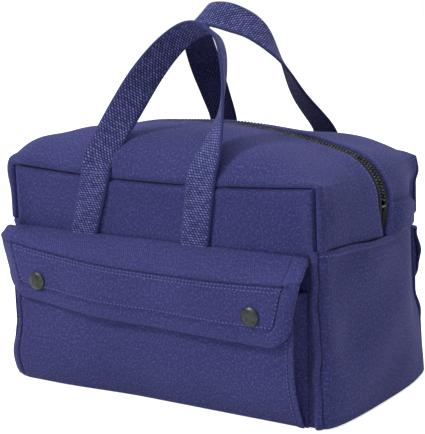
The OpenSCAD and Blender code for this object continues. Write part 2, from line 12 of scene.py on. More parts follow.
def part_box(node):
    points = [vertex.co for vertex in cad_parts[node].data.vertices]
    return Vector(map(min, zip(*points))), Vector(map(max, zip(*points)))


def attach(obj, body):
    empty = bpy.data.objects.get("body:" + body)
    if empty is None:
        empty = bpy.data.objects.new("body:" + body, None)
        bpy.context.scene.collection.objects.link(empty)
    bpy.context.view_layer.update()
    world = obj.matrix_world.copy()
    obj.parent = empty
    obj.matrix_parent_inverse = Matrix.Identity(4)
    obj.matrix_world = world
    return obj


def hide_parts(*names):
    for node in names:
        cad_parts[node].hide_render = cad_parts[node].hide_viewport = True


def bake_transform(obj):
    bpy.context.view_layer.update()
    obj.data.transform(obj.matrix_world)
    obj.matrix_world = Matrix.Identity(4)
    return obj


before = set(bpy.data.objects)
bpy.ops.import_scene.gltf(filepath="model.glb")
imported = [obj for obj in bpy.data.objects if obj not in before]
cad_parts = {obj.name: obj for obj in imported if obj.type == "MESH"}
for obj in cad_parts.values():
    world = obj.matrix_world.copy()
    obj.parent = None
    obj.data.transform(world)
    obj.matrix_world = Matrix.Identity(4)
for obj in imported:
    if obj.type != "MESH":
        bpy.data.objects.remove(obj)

# Short names for types
Array = np.ndarray
Colour = tuple[float, float, float]
Material = bpy.types.Material
Node = bpy.types.Node
Object = bpy.types.Object
Socket = bpy.types.NodeSocket
Tree = bpy.types.NodeTree

LOG = logging.getLogger("tool_bag")
MM = 0.001
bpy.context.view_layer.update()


class Side(Enum):
    """The two long sides of the bag, which are each other turned half round."""

    FRONT = "front"
    REAR = "rear"

    def place(self, points: Array) -> Array:
        """Turn points drawn for the front to this side.

        Args:
            points: Points in the last axis, in millimetres.

        Returns:
            The points on this side.
        """
        return points if self is Side.FRONT else points * np.array([-1.0, -1.0, 1.0])

    @property
    def half(self) -> str:
        """Name of the body that folds outwards on this side."""
        return f"{self.value}_half"


class Held(Enum):
    """How a sheet of cloth is held."""

    SEWN = "stretched"
    HUNG = "hung"
    FOLDED = "folded"


# Shared helpers for numbers and shapes


def unit(vectors: Array) -> Array:
    """Scale vectors in the last axis to a length of one."""
    return vectors / np.maximum(np.linalg.norm(vectors, axis=-1, keepdims=True), 1e-12)


def ease(value: Array) -> Array:
    """Smooth step from 0 to 1."""
    t = np.clip(value, 0.0, 1.0)
    return t * t * (3.0 - 2.0 * t)


def hump(value: Array, middle: float, width: float) -> Array:
    """Bell curve of height one round a middle."""
    return np.exp(-(((value - middle) / width) ** 2))


def lerp(a: Array, b: Array, t: Array) -> Array:
    """Straight mix of two values."""
    return a + (b - a) * t


def xyz(x: Array, y: Array, z: Array) -> Array:
    """Points from three arrays that broadcast together."""
    return np.stack(np.broadcast_arrays(x, y, z), axis=-1)


def along(table: tuple[float, ...], place: Array) -> Array:
    """Smooth value between the entries of a table.

    Args:
        table: The entries.
        place: Places counted in entries.

    Returns:
        The value at each place.
    """
    entries = np.array(table, float)
    last = len(entries) - 1
    full = np.concatenate([[2 * entries[0] - entries[1]], entries, [2 * entries[-1] - entries[-2]]])
    i = np.clip(np.floor(place).astype(int), 0, last - 1)
    t = place - i
    a, b, c, d = full[i], full[i + 1], full[i + 2], full[i + 3]
    return b + t * ((c - a) / 2 + t * ((2 * a - 5 * b + 4 * c - d) / 2 + t * (3 * b - a - 3 * c + d) / 2))


def spread(*stops: tuple[float, int]) -> Array:
    """Rising places, closer together in some stretches than in others.

    Args:
        stops: Each stretch's end and its number of steps. The first stop has the start alone.

    Returns:
        The places.
    """
    places = [np.array([stops[0][0]])]
    for (low, _), (high, steps) in zip(stops, stops[1:]):
        places.append(np.linspace(low, high, steps + 1)[1:])
    return np.concatenate(places)


def seam_relief(away: Array, deep: float = 3.0, puff: float = 1.1) -> Array:
    """Relief of cloth beside a sewn seam: a tight valley with a soft swelling next to it.

    Args:
        away: Distance from the seam, in millimetres.
        deep: Depth of the valley.
        puff: Height of the swelling.

    Returns:
        The relief, outwards.
    """
    return puff * hump(away, 5.0, 3.6) - deep * hump(away, 0, 1.15)


@dataclass(frozen=True)
class Ripple:
    """Soft uneven relief of cloth, as a sum of long waves.

    Attributes:
        seed: Fixes the waves.
        length: Typical length of a wave, in millimetres.
        waves: Number of waves.
    """

    seed: int
    length: float
    waves: int = 7

    def at(self, points: Array) -> Array:
        """Find the relief at points.

        Args:
            points: Points in the last axis, in millimetres.

        Returns:
            The relief, from about -1 to 1.
        """
        draw = np.random.default_rng(self.seed)
        total = np.zeros(points.shape[:-1])
        for _ in range(self.waves):
            heading = unit(draw.normal(size=3))
            number = 2 * math.pi / (self.length * draw.uniform(0.7, 1.8))
            total += np.sin(points @ heading * number + draw.uniform(0, 2 * math.pi))
        return total / math.sqrt(self.waves) / 1.2


# Form of the bag, with the same values as its solids


@dataclass(frozen=True)
class BagForm:
    """Sizes of the soft body, in millimetres, and the curves that follow from them."""

    bag_w: float = 280.0
    bag_d: float = 154.0
    seam_h: float = 175.0
    seam_dip: float = 6.0
    flare: float = 4.0
    end_h: float = 130.0
    end_bulge: float = 15.0
    foot_bulge: float = 12.0
    fullness: float = 2.8
    canvas_t: float = 1.6
    crown_h: float = 207.0
    crown_r: float = 470.0
    corner_r: float = 40.0
    zip_slit: float = 14.0
    zip_bare: float = 23.0
    side_share: float = 0.22
    # Slack, sag and fall of the soft cloth, which the solids leave out
    slack_rear: float = 1.5
    slack_high: float = 4.7
    slack_front: float = 2.5
    left_spill: float = 6.0
    fall: float = 5.0
    sag: float = 3.4
    drawn: float = 3.4

    @property
    def half_w(self) -> float:
        """Half the width at the top seam."""
        return self.bag_w / 2

    @property
    def half_d(self) -> float:
        """Half the depth at the top seam."""
        return self.bag_d / 2

    @property
    def rim_y(self) -> float:
        """Place of the crown's edge at the top seam."""
        return self.half_d - self.canvas_t

    @property
    def corner_x(self) -> float:
        """Middle of the zip's end corner, along the bag."""
        return self.half_w + self.end_bulge - self.corner_r

    @property
    def corner_z(self) -> float:
        """Middle of the zip's end corner, upwards."""
        reach = math.sqrt((self.crown_r - self.corner_r) ** 2 - self.corner_x**2)
        return self.crown_h - self.crown_r + reach

    @property
    def crown_half(self) -> float:
        """Half the angle of the crown's long arc, in radians."""
        return math.asin(self.corner_x / (self.crown_r - self.corner_r))

    @property
    def rise_l(self) -> float:
        """Length of the upright stretch of the zip's path."""
        return self.corner_z - self.end_h

    @property
    def bend_l(self) -> float:
        """Length of the zip's path round its end corner."""
        return self.corner_r * (math.pi / 2 - self.crown_half)

    @property
    def path_half(self) -> float:
        """Half the length of the zip's path."""
        return self.rise_l + self.bend_l + self.crown_r * self.crown_half

    def wall_x(self, z: Array) -> Array:
        """How far the ends stand out at a height."""
        return self.half_w + self.flare * np.clip(1 - z / self.end_h, 0, 1)

    def wall_y(self, z: Array) -> Array:
        """How far the front stands out at a height."""
        return self.half_d + self.flare * np.clip(1 - z / self.end_h, 0, 1)

    def bulge(self, z: Array) -> Array:
        """How far an end panel bulges at a height."""
        return lerp(self.foot_bulge, self.end_bulge, z / self.end_h)

    def cushion(self, w: Array) -> Array:
        """Rise of a full cushion from its seams to its middle."""
        return np.maximum(0, 1 - np.abs(w) ** self.fullness) ** (1 / self.fullness)

    def seam_z(self, x: Array) -> Array:
        """Height of the top seam along the bag."""
        return self.seam_h - self.seam_dip * (1 - (x / self.half_w) ** 2)

    def end_sag(self, right: bool, w: Array, z: Array) -> Array:
        """How much further an end stands out than its plain cushion, in millimetres.

        Args:
            right: Whether it is the right end, which is slacker to the rear.
            w: Share across the end, from -1 at its own front edge to 1.
            z: Height.

        Returns:
            The difference, which is negative where the end is slacker.
        """
        high = ease((z - 5) / 60) * ease((192 - z) / 50)
        edge = ease((1 - np.abs(w)) * np.where(w > 0, 60, 12) if right else (1 - np.abs(w)) * 12)
        if right:
            rear = (self.slack_rear + self.slack_high * high) * hump(w, 0.84, 0.26)
            return edge * (-rear - self.slack_front * high * hump(w, -0.62, 0.25))
        return edge * self.left_spill * hump(w, 0.84, 0.2) * ease((64 - z) / 40) * ease(z / 8)

    def rear_fall(self, x: Array, to_zip: Array) -> Array:
        """How far the rear of the crown falls away behind the zip, near the bag's middle."""
        return self.fall * hump(x, -22, 50) * (1 - np.exp(-np.maximum(to_zip, 0) / 16))

    def slump(self, points: Array) -> Array:
        """Let the right end sag where the zip's foot meets the hem, and draw in its rear corner.

        Args:
            points: Placed points in the last axis, in millimetres.

        Returns:
            The points, lower near the foot of the zip and narrower at the rear corner.
        """
        x, y, z = points[..., 0], points[..., 1], points[..., 2]
        right = ease((x - 125) / 20) * hump(y, 0, 45)
        drop = self.sag * right * ease((z - 95) / 30) * (1 - ease((z - 131) / 18))
        corner = ease((x - 118) / 18) * ease((y - 40) / 30)
        drawn = self.drawn * corner * ease((z - 48) / 22) * ease((166 - z) / 12)
        return np.stack([x - drawn, y, z - drop], axis=-1)

    def path_turn(self, s: Array) -> Array:
        """Direction of the outward normal along the zip's path.

        Args:
            s: Length from the right foot.

        Returns:
            The angle up from +X, in radians.
        """
        mirrored = s > self.path_half
        near = np.where(mirrored, 2 * self.path_half - s, s)
        on_crown = math.pi / 2 - self.crown_half + (near - self.rise_l - self.bend_l) / self.crown_r
        bend = (near - self.rise_l) / self.corner_r
        angle = np.where(near < self.rise_l, 0.0, np.where(near < self.rise_l + self.bend_l, bend, on_crown))
        return np.where(mirrored, math.pi - angle, angle)

    def path_point(self, s: Array, depth: float) -> Array:
        """Place on the zip's path, as x and z.

        Args:
            s: Length from the right foot.
            depth: How far below the canvas' outer face.

        Returns:
            An array with x and z in the last axis.
        """
        s = np.asarray(s, float)
        mirrored = s > self.path_half
        near = np.where(mirrored, 2 * self.path_half - s, s)
        angle = self.path_turn(near)
        foot = near < self.rise_l
        crown = near >= self.rise_l + self.bend_l
        radius = np.where(crown, self.crown_r, self.corner_r) - depth
        middle_x = np.where(crown, 0.0, self.corner_x)
        middle_z = np.where(crown, self.crown_h - self.crown_r, self.corner_z)
        x = np.where(foot, self.corner_x + self.corner_r - depth, middle_x + radius * np.cos(angle))
        z = np.where(foot, self.end_h + near, middle_z + radius * np.sin(angle))
        return np.stack([np.where(mirrored, -x, x), z], axis=-1)

    def band_point(self, u: Array, y: Array, depth: float) -> Array:
        """Place on the crown of the front side.

        Args:
            u: Share along the crown, from -1 at its left foot to 1 at its right foot.
            y: Distance in front of the zip's middle, as a negative number.
            depth: How far below the outer face.

        Returns:
            Points in the last axis.
        """
        share = np.abs(u)
        side = share > 1 - self.side_share
        side_part = (1 - share) / self.side_share
        top_part = share / (1 - self.side_share)
        inner = self.half_w - depth
        rim_x = np.where(side, inner, inner * top_part)
        side_z = lerp(self.end_h, self.seam_h - depth, side_part)
        rim_z = np.where(side, side_z, self.seam_z(self.half_w * top_part) - depth)
        corner_s = self.rise_l + self.bend_l / 2
        s = np.where(side, corner_s * side_part, lerp(self.path_half, corner_s, top_part))
        path = self.path_point(s, depth)
        rise = self.cushion(y / self.rim_y)
        x = lerp(rim_x, path[..., 0], rise)
        z = lerp(rim_z, path[..., 1], rise)
        narrow = y * (1 - depth / self.rim_y * (y / self.rim_y) ** 4)
        return np.stack([np.where(u < 0, -x, x), narrow, z], axis=-1)


FORM = BagForm()

# Web legs: middle of each foot along the bag and how far it slants, then where they slant
STRAP_LEGS = ((-69.0, 16.0), (37.0, 8.0))
SLANT_Z = 125.0
SLANT_RISE = 48.8
LEG_REACH = 17.0


# Meshes from grids and ribbons


def lengths(points: Array, axis: int) -> Array:
    """Measure along one axis of a grid.

    Args:
        points: The grid.
        axis: The axis to go along, 0 or 1.

    Returns:
        The length from the first row to each point.
    """
    step = np.linalg.norm(np.diff(points, axis=axis), axis=-1)
    pad = [(0, 0), (0, 0)]
    pad[axis] = (1, 0)
    return np.cumsum(np.pad(step, pad), axis=axis)


def grid_normals(points: Array) -> Array:
    """Normals of a grid, on the side that its first axis crossed with its second points to."""
    return unit(np.cross(np.gradient(points, axis=0), np.gradient(points, axis=1)))


def lifted(grid: Array, away: float = 0.1) -> Array:
    """The grid, moved outwards so that thread lies on it."""
    return grid + grid_normals(grid) * away


def show(name: str, data: bpy.types.ID) -> Object:
    """Put a mesh, lamp or camera in the scene as an object."""
    obj = bpy.data.objects.new(name, data)
    bpy.context.scene.collection.objects.link(obj)
    return obj


def dress_solids(names: tuple[str, ...], material: Material) -> None:
    """Give CAD nodes that stay in view their finish."""
    for name in names:
        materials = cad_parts[name].data.materials
        materials.clear()
        materials.append(material)


def new_object(name: str, verts: Array, faces: list, uvs: Array, material: Material) -> Object:
    """Make a smooth mesh object with a UV map.

    Args:
        name: Name of the piece.
        verts: Vertices in millimetres.
        faces: Faces as lists of vertex numbers.
        uvs: One UV place for each vertex, in metres.
        material: Finish of the piece.

    Returns:
        The new object.
    """
    mesh = bpy.data.meshes.new(name)
    mesh.from_pydata((verts * MM).tolist(), [], faces)
    mesh.materials.append(material)
    mesh.polygons.foreach_set("use_smooth", [True] * len(mesh.polygons))
    layer = mesh.uv_layers.new(name="cloth")
    corner = np.empty(len(mesh.loops), int)
    mesh.loops.foreach_get("vertex_index", corner)
    layer.data.foreach_set("uv", uvs[corner].astype(np.float32).ravel())
    mesh.update()
    return show(name, mesh)


def cloth(name: str, outer: Array, thick: float, material: Material, turn_uv: bool = False) -> Object:
    """Make a sheet of cloth with rounded edges from a grid on its outer side.

    Args:
        name: Name of the piece.
        outer: Grid of points in millimetres, whose first axis crossed with its second points outwards.
        thick: Thickness of the cloth.
        material: Finish of the piece.
        turn_uv: Whether the weave runs across instead of along.

    Returns:
        The new object.
    """
    nu, nv = outer.shape[:2]
    inner = outer - grid_normals(outer) * thick
    ring = [(i, 0) for i in range(nu - 1)] + [(nu - 1, j) for j in range(nv - 1)]
    ring += [(i, nv - 1) for i in range(nu - 1, 0, -1)] + [(0, j) for j in range(nv - 1, 0, -1)]
    rows = np.array(ring)
    inside = np.clip(rows, 1, [nu - 2, nv - 2])
    edge_out = outer[rows[:, 0], rows[:, 1]]
    edge_in = inner[rows[:, 0], rows[:, 1]]
    away = unit(edge_out - outer[inside[:, 0], inside[:, 1]])
    middle = (edge_out + edge_in) / 2 + away * thick * 0.42
    verts = np.concatenate([outer.reshape(-1, 3), inner.reshape(-1, 3), middle])
    count = nu * nv
    number = np.arange(count).reshape(nu, nv)
    a, b = number[:-1, :-1].ravel(), number[1:, :-1].ravel()
    c, d = number[1:, 1:].ravel(), number[:-1, 1:].ravel()
    faces = np.stack([a, b, c, d], axis=1).tolist()
    faces += (np.stack([d, c, b, a], axis=1) + count).tolist()
    edge = number[rows[:, 0], rows[:, 1]]
    size = len(ring)
    for k in range(size):
        n = (k + 1) % size
        mid_k, mid_n = 2 * count + k, 2 * count + n
        faces.append([int(edge[n]), int(edge[k]), mid_k, mid_n])
        faces.append([mid_n, mid_k, int(edge[k]) + count, int(edge[n]) + count])
    flat = np.stack([lengths(outer, 0), lengths(outer, 1)], axis=-1) * MM
    flat[..., 0] -= flat[-1:, :, 0] / 2
    if turn_uv:
        flat = flat[..., ::-1]
    uvs = np.concatenate([flat.reshape(-1, 2), flat.reshape(-1, 2), flat[rows[:, 0], rows[:, 1]]])
    return new_object(name, verts, faces, uvs, material)


def ribbon(name: str, middle: Array, half: Array, face: Array, thick: float, material: Material,
           start: float = 0.0, inside: Material | None = None) -> Object:
    """Make a flat woven web with rounded edges along a path.

    Args:
        name: Name of the piece.
        middle: Points along the web's middle, in millimetres.
        half: Half of the web's width at each point, as a vector.
        face: Normal of the web's outer face at each point.
        thick: Thickness of the web.
        material: Finish of the piece.
        start: Length at which the weave starts, in millimetres.
        inside: Finish of the web's inner face, if it differs, such as a darker one with painted shade.

    Returns:
        The new object.
    """
    across = np.array([-1.0, -0.97, -0.88, -0.6, -0.3, 0.0, 0.3, 0.6, 0.88, 0.97, 1.0])
    height = np.array([0.18, 0.36, 0.47, 0.5, 0.5, 0.5, 0.5, 0.5, 0.47, 0.36, 0.18])
    section_u = np.concatenate([across, across[::-1]])
    section_d = np.concatenate([height, -height[::-1]])
    grid = middle[:, None] + half[:, None] * section_u[None, :, None]
    grid = grid + face[:, None] * section_d[None, :, None] * thick
    n, m = grid.shape[:2]
    travel = start + np.concatenate([[0], np.cumsum(np.linalg.norm(np.diff(middle, axis=0), axis=1))])
    wide = np.linalg.norm(half, axis=1).mean()
    verts = grid.reshape(-1, 3)
    flat = np.broadcast_arrays(section_u[None, :] * wide, travel[:, None])
    uv = np.stack(flat, axis=-1).reshape(-1, 2) * MM
    faces = []
    for i in range(n - 1):
        for j in range(m):
            k = (j + 1) % m
            faces.append([i * m + j, i * m + k, (i + 1) * m + k, (i + 1) * m + j])
    faces.append(list(range(m))[::-1])
    faces.append([(n - 1) * m + j for j in range(m)])
    outward = np.cross(half[0], middle[1] - middle[0]) @ face[0]
    if outward < 0:
        faces = [f[::-1] for f in faces]
    obj = new_object(name, verts, faces, uv, material)
    # The inner faces take the second finish, which on the rear loop is darker as painted shade.
    if inside is not None:
        obj.data.materials.append(inside)
        wide_side = len(across)
        for number, polygon in enumerate(obj.data.polygons):
            if wide_side <= number % m < m - 1 and number < (n - 1) * m:
                polygon.material_index = 1
    return obj


# Shader node groups and finishes


@dataclass
class Graph:
    """Small helper that adds nodes to a tree."""

    tree: Tree

    def add(self, kind: str, values: dict | None = None, **settings: object) -> Node:
        """Add a node.

        Args:
            kind: Type name of the node.
            values: Numbers or sockets for its inputs, by name or number.
            settings: Properties of the node.

        Returns:
            The node.
        """
        node = self.tree.nodes.new(kind)
        for key, value in settings.items():
            setattr(node, key, value)
        for key, value in (values or {}).items():
            if isinstance(value, Socket):
                self.join(value, node.inputs[key])
            else:
                node.inputs[key].default_value = value
        return node

    def join(self, source: Socket, target: Socket) -> None:
        """Link two sockets."""
        self.tree.links.new(source, target)

    def math(self, operation: str, a: object, b: object = None, clamp: bool = False) -> Socket:
        """Add a Math node on sockets or numbers.

        Args:
            operation: Name of the operation.
            a: First socket or number.
            b: Second socket or number.
            clamp: Whether the result stays from 0 to 1.

        Returns:
            The output socket.
        """
        values = {0: a} if b is None else {0: a, 1: b}
        return self.add("ShaderNodeMath", values, operation=operation, use_clamp=clamp).outputs[0]


def shader_group(name: str, inputs: dict[str, float],
                 outputs: tuple[str, ...]) -> tuple[Graph, Node, Node]:
    """Start a shader node group with number sockets and one UV or place input.

    Args:
        name: Name of the group.
        inputs: Number inputs with their defaults.
        outputs: Number outputs.

    Returns:
        The graph, the input node and the output node.
    """
    tree = bpy.data.node_groups.new(name, "ShaderNodeTree")
    tree.interface.new_socket("Place", in_out="INPUT", socket_type="NodeSocketVector")
    for label, value in inputs.items():
        socket = tree.interface.new_socket(label, in_out="INPUT", socket_type="NodeSocketFloat")
        socket.default_value = value
    for label in outputs:
        tree.interface.new_socket(label, in_out="OUTPUT", socket_type="NodeSocketFloat")
    graph = Graph(tree)
    return graph, graph.add("NodeGroupInput"), graph.add("NodeGroupOutput")


def duck_group() -> Tree:
    """Build the plain weave of two thick yarns, with uneven yarns and pale slubs.

    Returns:
        The group, whose outputs are the height of the weave and its slubs.
    """
    sizes = {"Yarn": 0.0011, "Unevenness": 0.3}
    graph, source, sink = shader_group("plain weave", sizes, ("Height", "Slub"))
    place = source.outputs["Place"]
    scale = graph.math("DIVIDE", 1.0, source.outputs["Yarn"])
    wobble = graph.add("ShaderNodeTexNoise", {"Scale": 90.0, "Detail": 2.0, "Vector": place})
    scaled = graph.add("ShaderNodeVectorMath", {0: place, "Scale": scale}, operation="SCALE").outputs[0]
    wobbling = {0: wobble.outputs["Color"], 1: (0.9, 0.9, 0.0), 2: scaled}
    shifted = graph.add("ShaderNodeVectorMath", wobbling, operation="MULTIPLY_ADD")
    parts = graph.add("ShaderNodeSeparateXYZ", {0: shifted.outputs[0]})
    sines = [graph.math("SINE", graph.math("MULTIPLY", parts.outputs[axis], math.pi)) for axis in ("X", "Y")]
    over = graph.math("MULTIPLY", sines[0], sines[1])
    yarns = graph.math("ADD", graph.math("ABSOLUTE", sines[0]), graph.math("ABSOLUTE", sines[1]))
    weave = graph.math("ADD", graph.math("MULTIPLY", over, 0.5), graph.math("MULTIPLY", yarns, 0.35))
    stretched = graph.add("ShaderNodeVectorMath", {0: scaled, 1: (0.55, 0.45, 1.0)}, operation="MULTIPLY")
    slubs = {"Scale": 1.0, "Detail": 3.0, "Roughness": 0.65, "Vector": stretched.outputs[0]}
    grain = graph.add("ShaderNodeTexNoise", slubs).outputs[0]
    uneven = graph.math("MULTIPLY", graph.math("SUBTRACT", grain, 0.5), source.outputs["Unevenness"])
    graph.join(graph.math("ADD", weave, graph.math("MULTIPLY", uneven, 3.0)), sink.inputs["Height"])
    slub = graph.math("MULTIPLY", graph.math("SUBTRACT", grain, 0.47), 4.5, clamp=True)
    graph.join(graph.math("ADD", slub, graph.math("MULTIPLY", over, 0.5), clamp=True), sink.inputs["Slub"])
    return graph.tree


def web_group() -> Tree:
    """Build the coarse web whose yarns show as staggered grains.

    Returns:
        The group, whose outputs are the height of the grains and their flecks.
    """
    sizes = {"Across": 0.0028, "Along": 0.0019, "Grained": 0.0112, "Border": 0.0008}
    graph, source, sink = shader_group("coarse web", sizes, ("Height", "Fleck"))
    parts = graph.add("ShaderNodeSeparateXYZ", {0: source.outputs["Place"]})
    row = graph.math("DIVIDE", parts.outputs["Y"], source.outputs["Along"])
    column = graph.math("DIVIDE", parts.outputs["X"], source.outputs["Across"])
    whole = graph.math("FLOOR", row)
    odd = graph.math("MULTIPLY", graph.math("PINGPONG", whole, 1.0), 0.5)
    slant = graph.math("MULTIPLY", graph.math("FRACT", row), 0.45)
    shifted = graph.math("ADD", graph.math("ADD", column, odd), slant)
    cell = graph.add("ShaderNodeCombineXYZ", {0: graph.math("FLOOR", shifted), 1: whole})
    random = graph.add("ShaderNodeTexWhiteNoise", {"Vector": cell.outputs[0]}, noise_dimensions="2D")
    domes = []
    for value in (row, shifted):
        domes.append(graph.math("SINE", graph.math("MULTIPLY", graph.math("FRACT", value), math.pi)))
    dome = graph.math("POWER", graph.math("MULTIPLY", domes[0], domes[1]), 0.55)
    beyond = graph.math("SUBTRACT", graph.math("ABSOLUTE", parts.outputs["X"]), source.outputs["Grained"])
    border = graph.math("DIVIDE", beyond, source.outputs["Border"], clamp=True)
    inner = graph.math("SUBTRACT", 1.0, border)
    graph.join(graph.math("MULTIPLY", dome, inner), sink.inputs["Height"])
    uneven = graph.math("ADD", graph.math("MULTIPLY", random.outputs["Value"], 0.4), 0.6)
    fleck = graph.math("MULTIPLY", graph.math("POWER", dome, 1.2), uneven)
    edge = graph.math("MULTIPLY", graph.math("SUBTRACT", 1.0, inner), 0.35)
    graph.join(graph.math("ADD", graph.math("MULTIPLY", fleck, inner), edge), sink.inputs["Fleck"])
    return graph.tree


def mottle_group() -> Tree:
    """Build large soft patches of worn and unworn cloth or metal; on the zip's metal the bright patches are
    partly painted glints.

    Returns:
        The group, whose outputs are large patches and fine ones.
    """
    graph, source, sink = shader_group("mottle", {"Size": 0.05}, ("Patch", "Fine"))
    for label, factor, detail in (("Patch", 1.0, 3.0), ("Fine", 9.0, 4.0)):
        scale = graph.math("DIVIDE", factor, source.outputs["Size"])
        values = {"Detail": detail, "Roughness": 0.6, "Vector": source.outputs["Place"], "Scale": scale}
        noise = graph.add("ShaderNodeTexNoise", values).outputs[0]
        patch = graph.math("MULTIPLY", graph.math("SUBTRACT", noise, 0.3), 2.2, clamp=True)
        graph.join(patch, sink.inputs[label])
    return graph.tree


GROUPS = {"duck": duck_group(), "web": web_group(), "mottle": mottle_group()}


def start_material(name: str, patch: float) -> tuple[Material, Graph, Node, Node]:
    """Start a material with its shader and its mottling.

    Args:
        name: Name of the material.
        patch: Size of a patch, in metres.

    Returns:
        The material, its graph, its shader and the mottle group.
    """
    material = bpy.data.materials.new(name)
    material.use_nodes = True
    graph = Graph(material.node_tree)
    place = graph.add("ShaderNodeTexCoord").outputs["Object"]
    mottle = graph.add("ShaderNodeGroup", {"Size": patch, "Place": place}, node_tree=GROUPS["mottle"])
    return material, graph, material.node_tree.nodes["Principled BSDF"], mottle


class Weave(Enum):
    """The weaves of the bag's cloths."""

    DUCK = "duck"
    WEB = "web"


@dataclass(frozen=True)
class ClothFinish:
    """Finish of a woven cloth.

    Attributes:
        name: Name of the material.
        slot: Material slot of the record, which is not used.
        weave: Kind of weave.
        deep: Colour between the yarns.
        body: Main colour.
        pale: Colour on top of the yarns.
        relief: Height of the weave, in metres.
        strength: Strength of the bump.
        yarn: Width of a yarn, in metres.
        sheen: Weight of the sheen.
    """

    name: str
    slot: str
    weave: Weave
    deep: Colour
    body: Colour
    pale: Colour
    relief: float = 0.0003
    strength: float = 0.6
    yarn: float = 0.0011
    sheen: float = 0.08

    def material(self) -> Material:
        """Build the material once.

        Returns:
            The material, also where it is built already.
        """
        known = bpy.data.materials.get(self.name)
        if known:
            return known
        material, graph, shader, mottle = start_material(self.name, 0.06)
        uv = graph.add("ShaderNodeTexCoord").outputs["UV"]
        weave = graph.add("ShaderNodeGroup", {"Place": uv}, node_tree=GROUPS[self.weave.value])
        if self.weave is Weave.DUCK:
            weave.inputs["Yarn"].default_value = self.yarn
        ramp = graph.add("ShaderNodeValToRGB", {"Fac": weave.outputs[1]})
        stops = ramp.color_ramp.elements
        stops[0].color = (*self.deep, 1)
        stops[1].color = (*self.pale, 1)
        stops.new(0.45).color = (*self.body, 1)
        shade = graph.add("ShaderNodeValToRGB", {"Fac": mottle.outputs["Patch"]})
        shade.color_ramp.elements[0].color = (0.86, 0.86, 0.88, 1)
        shade.color_ramp.elements[1].color = (1.08, 1.08, 1.06, 1)
        mixed = {"Factor": 1.0, 6: ramp.outputs["Color"], 7: shade.outputs["Color"]}
        tint = graph.add("ShaderNodeMix", mixed, data_type="RGBA", blend_type="MULTIPLY")
        graph.join(tint.outputs[2], shader.inputs["Base Color"])
        rough = graph.math("ADD", graph.math("MULTIPLY", mottle.outputs["Fine"], 0.12), 0.8)
        graph.join(rough, shader.inputs["Roughness"])
        raised = {"Strength": self.strength, "Distance": self.relief, "Height": weave.outputs[0]}
        graph.join(graph.add("ShaderNodeBump", raised).outputs[0], shader.inputs["Normal"])
        shader.inputs["Specular IOR Level"].default_value = 0.12
        shader.inputs["Sheen Weight"].default_value = self.sheen
        shader.inputs["Sheen Roughness"].default_value = 0.55
        shader.inputs["Sheen Tint"].default_value = (0.6, 0.6, 0.95, 1)
        return material


@dataclass(frozen=True)
class MetalFinish:
    """Finish of a darkened metal that is worn bright; on the zip the bright patches are partly painted
    glints.

    Attributes:
        name: Name of the material.
        slot: Material slot of the record, which is not used.
        dark: Colour of the darkened face.
        bright: Colour where it is worn, and on the zip the colour of painted glints.
        rough: Roughness of the darkened face.
        wear_and_glint: Share of the bright metal, which on the zip is partly painted glint.
    """

    name: str
    slot: str
    dark: Colour
    bright: Colour
    rough: float = 0.42
    wear_and_glint: float = 0.35

    def material(self) -> Material:
        """Build the material once.

        Returns:
            The material, also where it is built already.
        """
        known = bpy.data.materials.get(self.name)
        if known:
            return known
        material, graph, shader, mottle = start_material(self.name, 0.004)
        # Bright patches of worn metal, which on the zip teeth are partly painted glints.
        worn = graph.math("MULTIPLY", mottle.outputs["Patch"], self.wear_and_glint)
        mixed = {6: (*self.dark, 1), 7: (*self.bright, 1), "Factor": worn}
        mix = graph.add("ShaderNodeMix", mixed, data_type="RGBA")
        graph.join(mix.outputs[2], shader.inputs["Base Color"])
        rough = graph.math("ADD", graph.math("MULTIPLY", mottle.outputs["Fine"], 0.18), self.rough)
        graph.join(rough, shader.inputs["Roughness"])
        raised = {"Strength": 0.25, "Distance": 0.0001, "Height": mottle.outputs["Fine"]}
        graph.join(graph.add("ShaderNodeBump", raised).outputs[0], shader.inputs["Normal"])
        shader.inputs["Metallic"].default_value = 1.0
        return material


CANVAS = ClothFinish("navy duck canvas", "canvas", Weave.DUCK, (0.018, 0.019, 0.082), (0.038, 0.040, 0.149),
                     (0.062, 0.066, 0.206), yarn=0.0009)
LINING = ClothFinish("navy duck inner cloth", "inner_canvas", Weave.DUCK, (0.015, 0.016, 0.070),
                     (0.034, 0.036, 0.135), (0.064, 0.068, 0.205), yarn=0.0009)
WEBBING = ClothFinish("navy cotton web", "webbing", Weave.WEB, (0.001, 0.001, 0.012), (0.032, 0.035, 0.135),
                      (0.165, 0.18, 0.44), relief=0.0008, strength=0.9)
# Painted shade: darker web colours for the shade that falls on the rear loop's inner face.
WEB_PAINTED_SHADE = ClothFinish("navy cotton web inner side painted shade", "webbing", Weave.WEB, (0.002, 0.002, 0.018),
                         (0.015, 0.014, 0.06), (0.05, 0.05, 0.16), relief=0.0006, strength=0.7, sheen=0.03)
TAPE = ClothFinish("black zip tape", "zip_tape", Weave.DUCK, (0.003, 0.003, 0.004), (0.006, 0.006, 0.009),
                   (0.013, 0.013, 0.018), yarn=0.0006, sheen=0.08)
THREAD = ClothFinish("navy sewing thread", "canvas", Weave.WEB, (0.08, 0.085, 0.24), (0.16, 0.165, 0.38),
                     (0.24, 0.25, 0.50), relief=0.0001, strength=0.3)
# On the zip the bright metal patches are partly worn metal and partly painted glints on some teeth.
ZIP_METAL = MetalFinish("dark zip metal", "zip_metal", (0.005, 0.005, 0.007), (0.24, 0.245, 0.28),
                        0.24, 0.34)
SNAP_METAL = MetalFinish("gunmetal snap", "snap_metal", (0.022, 0.024, 0.024), (0.085, 0.09, 0.088),
                         0.3, 0.5)


# Geometry Nodes that repeat a shape


